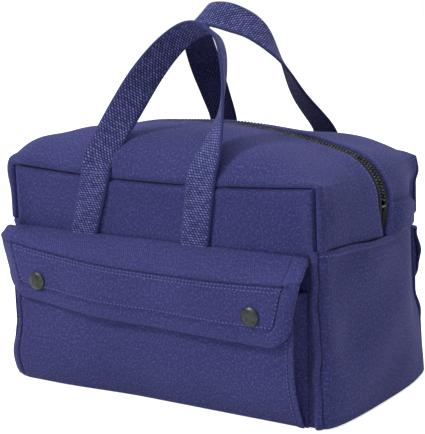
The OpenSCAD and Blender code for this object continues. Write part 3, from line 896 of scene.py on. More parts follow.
class Rows:
    """Node trees that set stitches and zip teeth along a path."""

    def __init__(self) -> None:
        """Build both trees once."""
        self.stitch = self._stitch_tree()
        self.tooth = self._tooth_tree()

    @staticmethod
    def _start(name: str, numbers: dict[str, float]) -> tuple[Graph, Node, Node]:
        """Start a geometry tree with number inputs and a material input.

        Args:
            name: Name of the tree.
            numbers: Its number inputs with their defaults.

        Returns:
            The graph, the input node and the output node.
        """
        tree = bpy.data.node_groups.new(name, "GeometryNodeTree")
        tree.interface.new_socket("Geometry", in_out="INPUT", socket_type="NodeSocketGeometry")
        for label, value in numbers.items():
            socket = tree.interface.new_socket(label, in_out="INPUT", socket_type="NodeSocketFloat")
            socket.default_value = value
        tree.interface.new_socket("Material", in_out="INPUT", socket_type="NodeSocketMaterial")
        tree.interface.new_socket("Geometry", in_out="OUTPUT", socket_type="NodeSocketGeometry")
        graph = Graph(tree)
        return graph, graph.add("NodeGroupInput"), graph.add("NodeGroupOutput")

    @staticmethod
    def _finish(graph: Graph, source: Node, sink: Node, placed: dict) -> Tree:
        """End a tree in Instance on Points, Realize Instances, smooth shading and Set Material.

        Args:
            graph: The graph.
            source: Its input node.
            sink: Its output node.
            placed: Inputs of Instance on Points.

        Returns:
            The finished tree.
        """
        place = graph.add("GeometryNodeInstanceOnPoints", placed)
        real = graph.add("GeometryNodeRealizeInstances", {0: place.outputs[0]})
        smooth = graph.add("GeometryNodeSetShadeSmooth", {0: real.outputs[0]})
        finish = {"Geometry": smooth.outputs[0], "Material": source.outputs["Material"]}
        graph.join(graph.add("GeometryNodeSetMaterial", finish).outputs[0], sink.inputs[0])
        return graph.tree

    def _stitch_tree(self) -> Tree:
        """Stitches: short round beads of thread, one after another along a line.

        Returns:
            The tree.
        """
        graph, source, sink = self._start("stitch row", {"Pitch": 0.003, "Length": 0.0023, "Thread": 0.0005})
        curve = graph.add("GeometryNodeMeshToCurve", {0: source.outputs["Geometry"]})
        stepped = {"Curve": curve.outputs[0], "Length": source.outputs["Pitch"]}
        even = graph.add("GeometryNodeResampleCurve", stepped, mode="LENGTH")
        tangent = graph.add("GeometryNodeInputTangent").outputs[0]
        aim = graph.add("FunctionNodeAlignRotationToVector", {"Vector": tangent}, axis="X")
        bead = graph.add("GeometryNodeMeshUVSphere", {"Segments": 6, "Rings": 5, "Radius": 1.0})
        thread = source.outputs["Thread"]
        half = graph.math("MULTIPLY", source.outputs["Length"], 0.5)
        size = graph.add("ShaderNodeCombineXYZ", {0: half, 1: thread, 2: thread})
        return self._finish(graph, source, sink, {
            "Points": even.outputs[0], "Instance": bead.outputs["Mesh"],
            "Rotation": aim.outputs[0], "Scale": size.outputs[0],
        })

    def _tooth_tree(self) -> Tree:
        """Zip teeth: a rounded block with a nose, turned by the path.

        Returns:
            The tree.
        """
        numbers = {"Thickness": 0.0022, "Length": 0.0029, "Width": 0.0015}
        graph, source, sink = self._start("zip teeth", numbers)
        values = {slot: source.outputs[label] for slot, label in enumerate(numbers)}
        size = graph.add("ShaderNodeCombineXYZ", values).outputs[0]
        block = graph.add("GeometryNodeMeshCube", {"Size": size})
        nose_size = graph.add("ShaderNodeVectorMath", {0: size, 1: (1.25, 0.5, 0.62)}, operation="MULTIPLY")
        nose = graph.add("GeometryNodeMeshCube", {"Size": nose_size.outputs[0]})
        shift = graph.add("ShaderNodeVectorMath", {0: size, 1: (0.0, 0.2, 0.0)}, operation="MULTIPLY")
        moved = {"Geometry": nose.outputs["Mesh"], "Translation": shift.outputs[0]}
        ahead = graph.add("GeometryNodeTransform", moved)
        both = graph.add("GeometryNodeJoinGeometry")
        graph.join(block.outputs["Mesh"], both.inputs[0])
        graph.join(ahead.outputs[0], both.inputs[0])
        soft = graph.add("GeometryNodeSubdivisionSurface", {"Edge Crease": 0.75, "Mesh": both.outputs[0]})
        turn = graph.add("GeometryNodeInputNamedAttribute", {"Name": "turn"}, data_type="FLOAT_VECTOR")
        aim = graph.add("FunctionNodeEulerToRotation", {0: turn.outputs[0]})
        return self._finish(graph, source, sink, {
            "Points": source.outputs["Geometry"], "Instance": soft.outputs[0], "Rotation": aim.outputs[0],
        })

    @staticmethod
    def bake(name: str, mesh: bpy.types.Mesh, tree: Tree, numbers: dict[str, float],
             material: Material) -> Object:
        """Run a tree on a mesh and keep the result as a plain object.

        Args:
            name: Name of the piece.
            mesh: The path or the points.
            tree: Geometry tree to run.
            numbers: Values of its number inputs.
            material: Finish of what it makes.

        Returns:
            The new object, with no modifier.
        """
        carrier = show(f"{name}.path", mesh)
        modifier = carrier.modifiers.new("rows", "NODES")
        modifier.node_group = tree
        for item in tree.interface.items_tree:
            if item.in_out == "INPUT" and item.name in numbers:
                modifier[item.identifier] = numbers[item.name]
            elif item.in_out == "INPUT" and item.name == "Material":
                modifier[item.identifier] = material
        bpy.context.view_layer.update()
        done = bpy.data.meshes.new_from_object(carrier.evaluated_get(bpy.context.evaluated_depsgraph_get()))
        bpy.data.objects.remove(carrier)
        done.name = name
        if not done.materials:
            done.materials.append(material)
        return show(name, done)

    def sew(self, name: str, lines: list[Array], pitch: float = 3.0) -> Object:
        """Sew rows of stitches.

        Args:
            name: Name of the piece.
            lines: Lines of points on the cloth, in millimetres.
            pitch: Distance from one stitch to the next.

        Returns:
            The stitches as one piece.
        """
        verts, edges = [], []
        for line in lines:
            first = len(verts)
            verts += (np.asarray(line) * MM).tolist()
            edges += [(first + k, first + k + 1) for k in range(len(line) - 1)]
        mesh = bpy.data.meshes.new(f"{name}.path")
        mesh.from_pydata(verts, edges, [])
        numbers = {"Pitch": pitch * MM, "Length": pitch * 0.74 * MM, "Thread": 0.5 * MM}
        return self.bake(name, mesh, self.stitch, numbers, THREAD.material())


ROWS = Rows()


# Dressing a finished piece


def settle(obj: Object, replaced: tuple[str, ...], body: str,
           across: Side | None = None) -> Object:
    """Give a finished piece its body, or bake it in place where it lies across a fold, and hide the solids
    that it stands for.

    Args:
        obj: The piece.
        replaced: Names of the CAD nodes that it replaces.
        body: Body that it rides on.
        across: Side whose fold the piece lies across, if any.

    Returns:
        The piece.
    """
    if across is None:
        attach(obj, body)
    else:
        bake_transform(obj)
    if replaced:
        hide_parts(*replaced)
    LOG.info("%s: %d faces on %s", obj.name, len(obj.data.polygons), body if across is None else across.half)
    return obj


def strap_mask(x: Array, z: Array) -> Array:
    """Find where a web leg lies on the cloth of the front.

    Args:
        x: Places along the bag.
        z: Heights.

    Returns:
        1 under a leg, and 0 away from it.
    """
    total = np.zeros(np.broadcast(x, z).shape)
    for foot, slant in STRAP_LEGS:
        middle = foot + slant * np.clip((z - SLANT_Z) / SLANT_RISE, 0, 1.1)
        total += np.exp(-(((x - middle) / LEG_REACH) ** 4))
    return np.clip(total, 0, 1)


@dataclass
class Body:
    """Walls, base, seams and inner pockets of the bag."""

    form: BagForm = FORM
    welt_w: float = 4.5
    welt_h: float = 3.0
    welt_flat: float = 1.9
    welt_t: float = 0.9
    hem_h: float = 5.5
    hem_swell: float = 1.2
    hem_t: float = 1.0
    inner_h: float = 95.0
    inner_foot: float = 8.0
    inner_count: int = 4
    inner_swell: float = 3.0
    inner_t: float = 1.0
    foot_round: float = 3.0
    base_inset: float = 3.0
    base_t: float = 1.5
    wall_wave: float = 1.1
    end_wave: float = 2.3
    end_low: float = 2.2

    def foot_inset(self, z: Array) -> Array:
        """How far a wall is drawn in near the ground, by its rounded foot."""
        left = np.clip(self.foot_round - z, 0, self.foot_round)
        return self.foot_round - np.sqrt(self.foot_round**2 - left**2)

    def front_wall(self, side: Side) -> Array:
        """Draw the front or rear panel.

        Args:
            side: The side of the panel.

        Returns:
            Its grid, from the base to the top seam.
        """
        form = self.form
        u = spread((-1, 0), (-0.96, 11), (0.96, 110), (1, 11))[:, None]
        v = spread((0, 0), (0.05, 7), (0.72, 40), (0.972, 22), (1, 12))
        top = form.seam_z(u * form.half_w)
        z = 0.4 + (top - 0.4) * v[None, :]
        x = u * (form.wall_x(z) - self.foot_inset(z) * 0.8)
        beside = np.maximum(form.half_w - np.abs(x), 0) + 1.4 * np.clip(form.end_h - z, 0, None)
        edge = np.minimum(top - z, beside)
        relief = Ripple(11 if side is Side.FRONT else 12, 75.0).at(xyz(x, 0, z))
        free = 1 - 0.9 * strap_mask(x, z)
        inward = self.wall_wave * (1 - relief) * ease(edge / 18) * free
        y = -form.wall_y(z) + self.foot_inset(z) + inward - seam_relief(edge) * (0.35 + 0.65 * free)
        return form.slump(side.place(xyz(x, y, z)))

    def end_wall(self, side: Side) -> Array:
        """Draw an end panel.

        Args:
            side: The front side for the right end, the rear side for the left end.

        Returns:
            Its grid.
        """
        form = self.form
        w = -np.cos(np.linspace(0, np.pi, 81))[:, None]
        z = spread((0.4, 0), (6, 8), (129.6, 57))[None, :]
        inset = self.foot_inset(z)
        x = form.wall_x(z) + form.bulge(z) * form.cushion(w) - inset
        y = w * (form.wall_y(z) - form.canvas_t - inset * 0.7)
        points = xyz(x, y, z)
        relief = Ripple(21 if side is Side.FRONT else 22, 70.0).at(points)
        border = ease((1 - np.abs(w)) * 4.5) * ease(z / 25) * ease((130 - z) / 10)
        lower = self.end_low * hump(z, 52, 26) * hump(np.abs(w), 0.0, 0.55)
        sag = form.end_sag(side is Side.FRONT, w, z)
        points[..., 0] += (self.end_wave * relief + lower) * border + sag
        return form.slump(side.place(points))

    def end_hem(self, side: Side) -> Array:
        """Draw the folded hem along the top of an end panel.

        Args:
            side: The front side for the right end, the rear side for the left end.

        Returns:
            Its grid.
        """
        form = self.form
        w = -np.cos(np.linspace(0.03, np.pi - 0.03, 81))[:, None]
        t = np.linspace(0, 1, 13)[None, :]
        z = 130.7 - self.hem_h + self.hem_h * t + 0.3 * np.sin(w * 9 + 1) * t
        fold = np.sin(np.pi * np.clip(t * 0.78 + 0.06, 0, 1)) ** 0.7
        swell = 0.2 + self.hem_swell * fold * ease((1 - np.abs(w)) * 6 + 0.1)
        sag = form.end_sag(side is Side.FRONT, w, z)
        x = form.wall_x(z) + form.bulge(z) * form.cushion(w) + swell + sag
        y = w * (form.wall_y(z) - form.canvas_t + swell * 0.9)
        return form.slump(side.place(xyz(x, y, z)))

    def base(self) -> Array:
        """Draw the base.

        Returns:
            Its grid, seen from below.
        """
        form = self.form
        u = np.linspace(-1, 1, 61)[:, None]
        w = np.cos(np.linspace(0, np.pi, 41))[None, :]
        x = u * (form.wall_x(0) + form.foot_bulge * form.cushion(w) - self.base_inset)
        return xyz(x, w * (form.wall_y(0) - self.base_inset), 0)

    def welts(self, side: Side) -> list[Array]:
        """Draw the two raised corner seams of a side, each a soft rib with an uneven edge.

        Args:
            side: The side of the seams.

        Returns:
            Their grids.
        """
        form = self.form
        grids = []
        for end in (-1, 1):
            z = np.linspace(0.8, 130.0, 90)[:, None]
            a = np.linspace(0, 1, 11)[None, :]
            wander = 0.7 * np.sin(z / 9.0 + end) + 0.5 * np.sin(z / 4.3 + 2 * end)
            middle = end * (form.wall_x(z) - self.welt_w / 2 + 0.4) + wander * ease(z / 15)
            height = self.welt_h - self.welt_flat * ease((z - 112) / 10)
            rise = 0.2 + height * np.sin(np.pi * a) ** 0.75 + 0.35 * np.sin(z / 6.1 + 1)
            x = middle - (a - 0.5) * (self.welt_w + 1.6)
            y = -form.wall_y(z) + self.foot_inset(z) * 0.8 - rise + 0.6
            grids.append(form.slump(side.place(xyz(x, y, z))))
        return grids

    def inner_pockets(self, side: Side) -> Array:
        """Draw a strip of inside pockets.

        Args:
            side: The side of the panel that carries it.

        Returns:
            Its grid, seen from inside the bag.
        """
        form = self.form
        u = np.linspace(1, -1, 121)[:, None]
        v = np.linspace(0, 1, 20)[None, :]
        z = lerp(self.inner_foot, self.inner_h, v)
        swell = self.inner_swell * v * np.sin(np.pi / 2 * self.inner_count * (u + 1)) ** 2
        y = form.canvas_t + 4.1 + swell - form.wall_y(z)
        return side.place(xyz(u * (form.half_w - 2 * form.canvas_t - 1.5), y, z))

    def build(self) -> None:
        """Build and dress all pieces of the body."""
        canvas, lining = CANVAS.material(), LINING.material()
        base = self.base()
        piece = settle(cloth("base_cloth", base, self.base_t, canvas), ("base_panel",), "bag")
        for side in Side:
            name = side.value
            end = "right" if side is Side.FRONT else "left"
            grid = self.front_wall(side)
            piece = cloth(f"{name}_panel_cloth", grid, self.form.canvas_t, canvas)
            settle(piece, (f"{name}_panel", f"{name}_panel_top"), "bag", side)
            grid = self.end_wall(side)
            piece = cloth(f"{end}_end_cloth", grid, self.form.canvas_t, canvas)
            settle(piece, (f"{end}_end_panel",), "bag")
            hem = self.end_hem(side)
            trim = cloth(f"{end}_end_fold", hem, self.hem_t, canvas)
            settle(trim, (f"{end}_end_hem",), "bag")
            thread = ROWS.sew(f"{end}_end_stitches", [lifted(hem)[3:-3, 4]])
            settle(thread, (), "bag")
            for number, rib in enumerate(self.welts(side)):
                piece = cloth(f"{name}_rib_{number}", rib, self.welt_t, canvas)
                settle(piece, (f"{name}_corner_welts",), "bag")
            grid = self.inner_pockets(side)
            piece = cloth(f"{name}_inner_pocket_cloth", grid, self.inner_t, lining)
            settle(piece, (f"{name}_inner_pockets",), "bag")
            raised = lifted(grid)
            lines = [raised[k] for k in (0, 30, 60, 90, 120)] + [raised[:, 18]]
            thread = settle(ROWS.sew(f"{name}_inner_pocket_stitches", lines, 3.5), (), "bag")


@dataclass
class Crown:
    """The two canvas bands over the top, which lie across the folds of the mouth."""

    form: BagForm = FORM
    seam_deep: float = 3.0
    seam_puff: float = 1.7
    overhang: float = 1.0
    wave: float = 2.0
    lip: float = 0.15
    lip_edge: float = 1.0
    lip_slope: float = 0.5
    foot_deep: float = 1.3
    lobe: float = 8.0
    shoulder: float = 5.0
    rear_dip: float = 2.4
    notch_z: float = 152.0
    notch_puff: float = 1.2
    ledge: float = 4.6
    ledge_slant: float = 0.095
    ledge_line: float = 1.8

    def edge_y(self, u: Array) -> Array:
        """Distance of the canvas' edge from the zip's middle, which closes to a notch at the feet."""
        share = np.clip((np.abs(u) - 0.9) / 0.1, 0, 1)
        return self.form.zip_slit / 2 + 1.4 * hump(np.abs(u), 0.9, 0.06) - 6.0 * share

    def surface(self, u: Array) -> Array:
        """Plain surface of a band, with its points evenly placed from the seam to the zip.

        Args:
            u: Share along the crown at each row.

        Returns:
            Grid of points.
        """
        form = self.form
        first, last = 6.0, 7.0
        power = 2 / form.fullness
        rows = []
        for share in u:
            edge = float(self.edge_y(np.array(share)))
            angle = np.linspace(0, 1, 700) ** 1.8 * math.acos((edge / form.rim_y) ** (1 / power))
            y = -form.rim_y * np.cos(angle) ** power
            line = form.band_point(np.full(y.shape, share), y, 0.0)
            line[:, 1] -= self.overhang * (y / form.rim_y) ** 6
            travel = np.concatenate([[0], np.cumsum(np.linalg.norm(np.diff(line, axis=0), axis=1))])
            whole = travel[-1]
            stops = spread((0, 0), (first, 11), (whole - last, 30), (whole, 11))
            rows.append(np.stack([np.interp(stops, travel, line[:, k]) for k in range(3)], axis=-1))
        return np.array(rows)

    def relief(self, side: Side, points: Array, low: Array) -> Array:
        """Relief of a band over its plain surface.

        Args:
            side: The side of the band.
            points: Grid of the plain surface.
            low: Rough height of each row over the nearer foot of the band.

        Returns:
            The relief, outwards.
        """
        away = lengths(points, 1)
        to_zip = away[:, -1:] - away
        x, y, z = points[..., 0], points[..., 1], points[..., 2]
        free = 1 - strap_mask(x, np.minimum(z, 176)) * hump(away, 0, 20)
        ripple = Ripple(31 if side is Side.FRONT else 32, 85.0).at(points)
        total = seam_relief(away, self.seam_deep, self.seam_puff) * free
        total += self.wave * ripple * ease(away / 25) * ease(to_zip / 20) * free
        total += self.lip * hump(to_zip, 1.8, 1.9) - self.lip_edge * np.exp(-to_zip / 0.6)
        total -= self.lip_slope * np.exp(-to_zip / 2.5)
        total -= self.foot_deep * hump(low, 0, 1.0)
        if side is Side.FRONT:
            spot = hump(x, -136, 25) * hump(y, -54, 30)
            total += self.lobe * spot * ease(away / 7) * ease(to_zip / 16) * ease((z - 150) / 26)
            spot = hump(x, -90, 24) * hump(y, -38, 26)
            total += self.shoulder * spot * ease(away / 10) * ease(to_zip / 10) * free
            above = hump(z, self.notch_z - 2, 12) * ease((x - 120) / 15)
            inner = ease(away / 14) * ease(to_zip / 16) * ease(low / 18)
            return total + self.notch_puff * above * inner
        total -= self.rear_dip * hump(x, -30, 60) * hump(y, -26, 24) * ease((to_zip - 6) / 14)
        total -= self.form.rear_fall(-x, to_zip) * ease(away / 22)
        brink = self.notch_z - 1.0 + self.ledge_slant * (y + 11)
        end = ease((-x - 120) / 15) * ease((away - 6) / 14)
        below = ease((brink - z) / 2.0) * end
        line = self.ledge_line * hump(z, brink + 1.6, 1.5) * end
        return total + self.ledge * below * ease(to_zip / 16) - line

    def grid(self, side: Side) -> Array:
        """Draw a band.

        Args:
            side: The side of the band.

        Returns:
            Its grid, from its seam to the zip.
        """
        form = self.form
        corner = 1 - form.side_share
        u = spread((-1, 0), (-0.97, 10), (-corner - 0.02, 16), (-corner + 0.02, 10), (corner - 0.02, 100),
                   (corner + 0.02, 10), (0.97, 16), (1, 10))
        points = self.surface(u)
        low = ((1 - np.abs(u)) / form.side_share * 46)[:, None]
        moved = points + grid_normals(points) * self.relief(side, points, low)[..., None]
        x, y, z = points[..., 0], points[..., 1], points[..., 2]
        forward = 1 if side is Side.FRONT else -1
        sag = form.end_sag(True, forward * y / form.rim_y, z) * ease((np.abs(x) - 100) / 35)
        moved[..., 0] += np.where(forward * x > 0, forward * sag, 0.0) * ease(lengths(points, 1) / 3)
        return form.slump(side.place(moved))

    def build(self) -> None:
        """Build and dress both bands."""
        for side in Side:
            name = side.value
            grid = self.grid(side)
            piece = cloth(f"{name}_band_cloth", grid, self.form.canvas_t, CANVAS.material())
            settle(piece, (f"{name}_band",), "bag", side)
            thread = ROWS.sew(f"{name}_band_stitches", [lifted(grid)[12:-12, -7]])
            settle(thread, (), "bag", side)


@dataclass
class Zip:
    """Tapes and teeth of the zip, with its slider, pull and stop."""

    form: BagForm = FORM
    tape_t: float = 0.8
    lay_gap: float = 0.1
    tape_lap: float = 6.0
    tooth_pitch: float = 2.6
    tooth_w: float = 1.5
    tooth_l: float = 2.9
    tooth_t: float = 2.2
    row_gap: float = 0.9
    proud: float = 0.6
    tuck: float = 0.5
    foot_valley: float = 2.5

    def tape(self, side: Side) -> Array:
        """Draw a tape.

        Args:
            side: The side of the tape.

        Returns:
            Its grid, from under the canvas to the feet of the teeth.
        """
        top = self.form.canvas_t + self.lay_gap
        u = np.linspace(-1, 1, 221)[:, None]
        bare = ease((np.abs(u) - 0.9) / 0.04)
        edge = (self.row_gap / 2 + self.tooth_l - 0.9) * (1 - bare) + 0.25 * bare
        share = np.linspace(0, 1, 15)[None, :]
        y = lerp(-(self.form.zip_slit / 2 + self.tape_lap) + 0 * edge, -edge, share)
        points = self.form.band_point(u + 0 * y, y + 0 * u, top)
        valley = self.foot_valley * bare * np.exp(-np.abs(y) / 2.2)
        rib = 0.16 * np.cos(y * 4.2) + 0.35 * hump(y + edge, -0.7, 0.7) - valley
        rib = rib + self.proud * ease((6.4 + y) / 1.0) * ease((-y - 3.3) / 1.0) * (1 - bare)
        rib = rib - self.tuck * ease((-y - 6.2) / 0.8)
        if side is Side.REAR:
            rib = rib - self.form.rear_fall(-points[..., 0], -y - self.form.zip_slit / 2)
        return self.form.slump(side.place(points + grid_normals(points) * rib[..., None]))

    def tooth_rows(self, side: Side) -> bpy.types.Mesh:
        """Set out a row of teeth.

        Args:
            side: The side of the row.

        Returns:
            Points where the teeth stand, with their turn as an attribute.
        """
        form = self.form
        count = int((2 * form.path_half - 2 * form.zip_bare) // self.tooth_pitch)
        step = np.arange(count) - (count - 1) / 2 + 1 / 4
        s = form.path_half + step * self.tooth_pitch
        depth = form.canvas_t + self.lay_gap + self.tape_t / 2
        path = form.path_point(s, depth)
        middle_y = -(self.row_gap / 2 + self.tooth_l / 2)
        points = side.place(xyz(path[:, 0], middle_y, path[:, 1]))
        mesh = bpy.data.meshes.new(f"{side.value}_teeth.points")
        mesh.from_pydata((points * MM).tolist(), [], [])
        turns = np.zeros((count, 3))
        turns[:, 1] = -form.path_turn(s)
        if side is Side.REAR:
            turns[:, 2] = math.pi
        mesh.attributes.new("turn", "FLOAT_VECTOR", "POINT").data.foreach_set("vector", turns.ravel())
        return mesh

    def build(self) -> None:
        """Build both rows, and dress the metal parts of the frame."""
        numbers = {"Thickness": self.tooth_t * MM, "Length": self.tooth_l * MM, "Width": self.tooth_w * MM}
        for side in Side:
            name = side.value
            grid = self.tape(side)
            piece = cloth(f"{name}_tape_cloth", grid, self.tape_t, TAPE.material(), turn_uv=True)
            settle(piece, (f"{name}_zip_tape",), "bag", side)
            places = self.tooth_rows(side)
            teeth = ROWS.bake(f"{name}_teeth", places, ROWS.tooth, numbers, ZIP_METAL.material())
            settle(teeth, (f"{name}_zip_teeth",), "bag", side)
        dress_solids(("zip_slider", "zip_pull", "zip_end_stop"), ZIP_METAL.material())


@dataclass(frozen=True)
class LoopShape:
    """Shape of a loop, with one entry for each of 13 places from its left foot to its right foot.

    Attributes:
        run: Shares of the span between its feet.
        rise: Shares of its height.
        turn: Shares of a right angle by which the web turns inwards.
        lean: Degrees that it leans towards the zip.
        sway: Sideways shifts, in millimetres.
    """

    run: tuple[float, ...]
    rise: tuple[float, ...]
    turn: tuple[float, ...]
    lean: float
    sway: tuple[float, ...]


@dataclass
class Handles:
    """The two web handles, with the legs that are sewn to the panels."""

    form: BagForm = FORM
    web_w: float = 25.4
    web_t: float = 2.4
    loop_h: float = 117.0
    lean_run: float = 15.0
    anchor_z: float = 92.0
    bend_z: float = 125.0
    fold_z: float = 173.8
    gap: float = 0.3
    stand: float = 2.4
    shapes: dict[Side, LoopShape] = field(default_factory=lambda: {
        Side.FRONT: LoopShape(
            (0, 0.01, 0.07, 0.172, 0.31, 0.479, 0.66, 0.828, 0.962, 1.043, 1.08, 1.06, 1),
            (0, 0.1, 0.24, 0.438, 0.671, 0.864, 0.98, 0.986, 0.884, 0.693, 0.458, 0.221, 0),
            (0, 0.2, 0.26, 0.42, 0.66, 0.82, 0.92, 0.96, 0.84, 0.72, 0.56, 0.25, 0), 22.4,
            (0, 0.6, 1.2, 1.4, 1.2, 0.6, 0, 0, 0, 0, 0, 0, 0)),
        Side.REAR: LoopShape(
            (0, 0, 0.05, 0.149, 0.31, 0.498, 0.667, 0.793, 0.88, 0.898, 0.9, 0.93, 1),
            (0, 0.17, 0.435, 0.729, 0.945, 1.045, 1.08, 1.06, 0.927, 0.72, 0.463, 0.21, 0),
            (0, -0.12, -0.27, -0.58, -1, -1.25, -1.2, -1.02, -0.74, -0.47, -0.2, -0.05, 0), 25.7,
            (-4.0, -9.0, -0.4, -1.6, -3.2, -1.5, 0, 0, 0, 0, -0.8, -3.4, -1.8)),
    })

    def leg_x(self, leg: tuple[float, float], z: Array) -> Array:
        """Middle of a leg at a height."""
        return leg[0] + leg[1] * np.maximum(0, z - self.bend_z) / (self.fold_z - self.bend_z)

    def leg_half(self, leg: tuple[float, float], z: Array) -> Array:
        """Half of the level cut through a leg."""
        rise = self.fold_z - self.bend_z
        return self.web_w / 2 * np.where(z > self.bend_z, math.hypot(leg[1], rise) / rise, 1.0)

    def middle(self, k: Array, shape: LoopShape) -> Array:
        """Find the middle line of a loop.

        Args:
            k: Places counted in entries of the shape.
            shape: The loop's shape.

        Returns:
            Points in the last axis.
        """
        h = self.loop_h * along(shape.rise, k)
        run = self.lean_run
        leaned = np.where(h < run, h * h / (2 * run), h - run / 2)
        lean = math.radians(shape.lean)
        feet = [float(self.leg_x(leg, np.array(self.fold_z))) for leg in STRAP_LEGS]
        web_y = self.form.half_d + self.web_t / 2
        return xyz(
            lerp(feet[0], feet[1], along(shape.run, k)) + along(shape.sway, k),
            math.sin(lean) * leaned - web_y - self.stand / 2 * (1 - ease(k / 2)),
            self.fold_z + self.gap + h - (1 - math.cos(lean)) * leaned,
        )

    def loop(self, shape: LoopShape) -> tuple[Array, Array, Array]:
        """Draw a loop.

        Args:
            shape: Its shape.

        Returns:
            Its middle line, half widths and faces.
        """
        last = len(shape.run) - 1
        k = np.linspace(0, last, 241)
        slip = 0.02
        ahead_k, behind_k = np.minimum(last, k + slip), np.maximum(0, k - slip)
        tangent = unit(self.middle(ahead_k, shape) - self.middle(behind_k, shape))
        tilt = np.radians(shape.lean) * np.clip(self.loop_h * along(shape.rise, k) / self.lean_run, 0, 1)
        front = xyz(0 * k, -np.cos(tilt), np.sin(tilt))
        inward = unit(np.cross(tangent, front))
        ahead = unit(np.cross(inward, tangent))
        turn = (np.pi / 2 * along(shape.turn, k))[:, None]
        face = np.cos(turn) * ahead + np.sin(turn) * inward
        across = unit(np.cross(tangent, face)) * self.web_w / 2
        ends = np.clip(np.minimum(k / 0.7, last - k), 0, 1)[:, None]
        cuts = [self.leg_half(leg, np.array(self.fold_z)) for leg in STRAP_LEGS]
        half_cut = np.where(k < last / 2, cuts[0], cuts[1])
        level = np.sign(across[:, :1]) * xyz(half_cut, np.where(k < 1, self.stand / 2, 0.0), 0 * k)
        return self.middle(k, shape), lerp(level, across, ends), face

    def leg(self, number: int, side: Side) -> tuple[Array, Array, Array]:
        """Draw a sewn leg.

        Args:
            number: 0 for the left leg, 1 for the right one.
            side: The side that it is sewn to.

        Returns:
            Its middle line, half widths and faces.
        """
        leg = STRAP_LEGS[number]
        z = np.linspace(self.anchor_z, self.fold_z + self.gap + 0.2, 60)
        off = self.stand / 2 * ease((z - 138) / (self.fold_z - 138)) * (number == 0)
        y = -(self.form.wall_y(z) + self.web_t / 2 + 0.05) - off
        shift = self.shapes[side].sway[-number] * ease((z - self.bend_z) / (self.fold_z - self.bend_z))
        half = xyz(self.leg_half(leg, z), off, 0 * z)
        return xyz(self.leg_x(leg, z) + shift, y, z), half, unit(xyz(half[:, 1], -half[:, 0], 0 * z))

    def build(self) -> None:
        """Build and dress both handles."""
        material = WEBBING.material()
        for side in Side:
            name = side.value
            for number, where in enumerate(("left", "right")):
                middle, half, face = (side.place(part) for part in self.leg(number, side))
                piece = ribbon(f"{name}_handle_{where}_leg", middle, half, face, self.web_t, material)
                nodes = (f"{name}_handle_risers", f"{name}_handle_anchors")
                settle(piece, nodes, "bag", side)
            middle, half, face = (side.place(part) for part in self.loop(self.shapes[side]))
            start = self.fold_z - self.anchor_z
            # The rear loop's inner face is darkened as painted shade.
            inside = WEB_PAINTED_SHADE.material() if side is Side.REAR else None
            piece = ribbon(f"{name}_handle_loop", middle, half, face, self.web_t, material, start, inside)
            settle(piece, (f"{name}_handle",), f"{name}_handle")


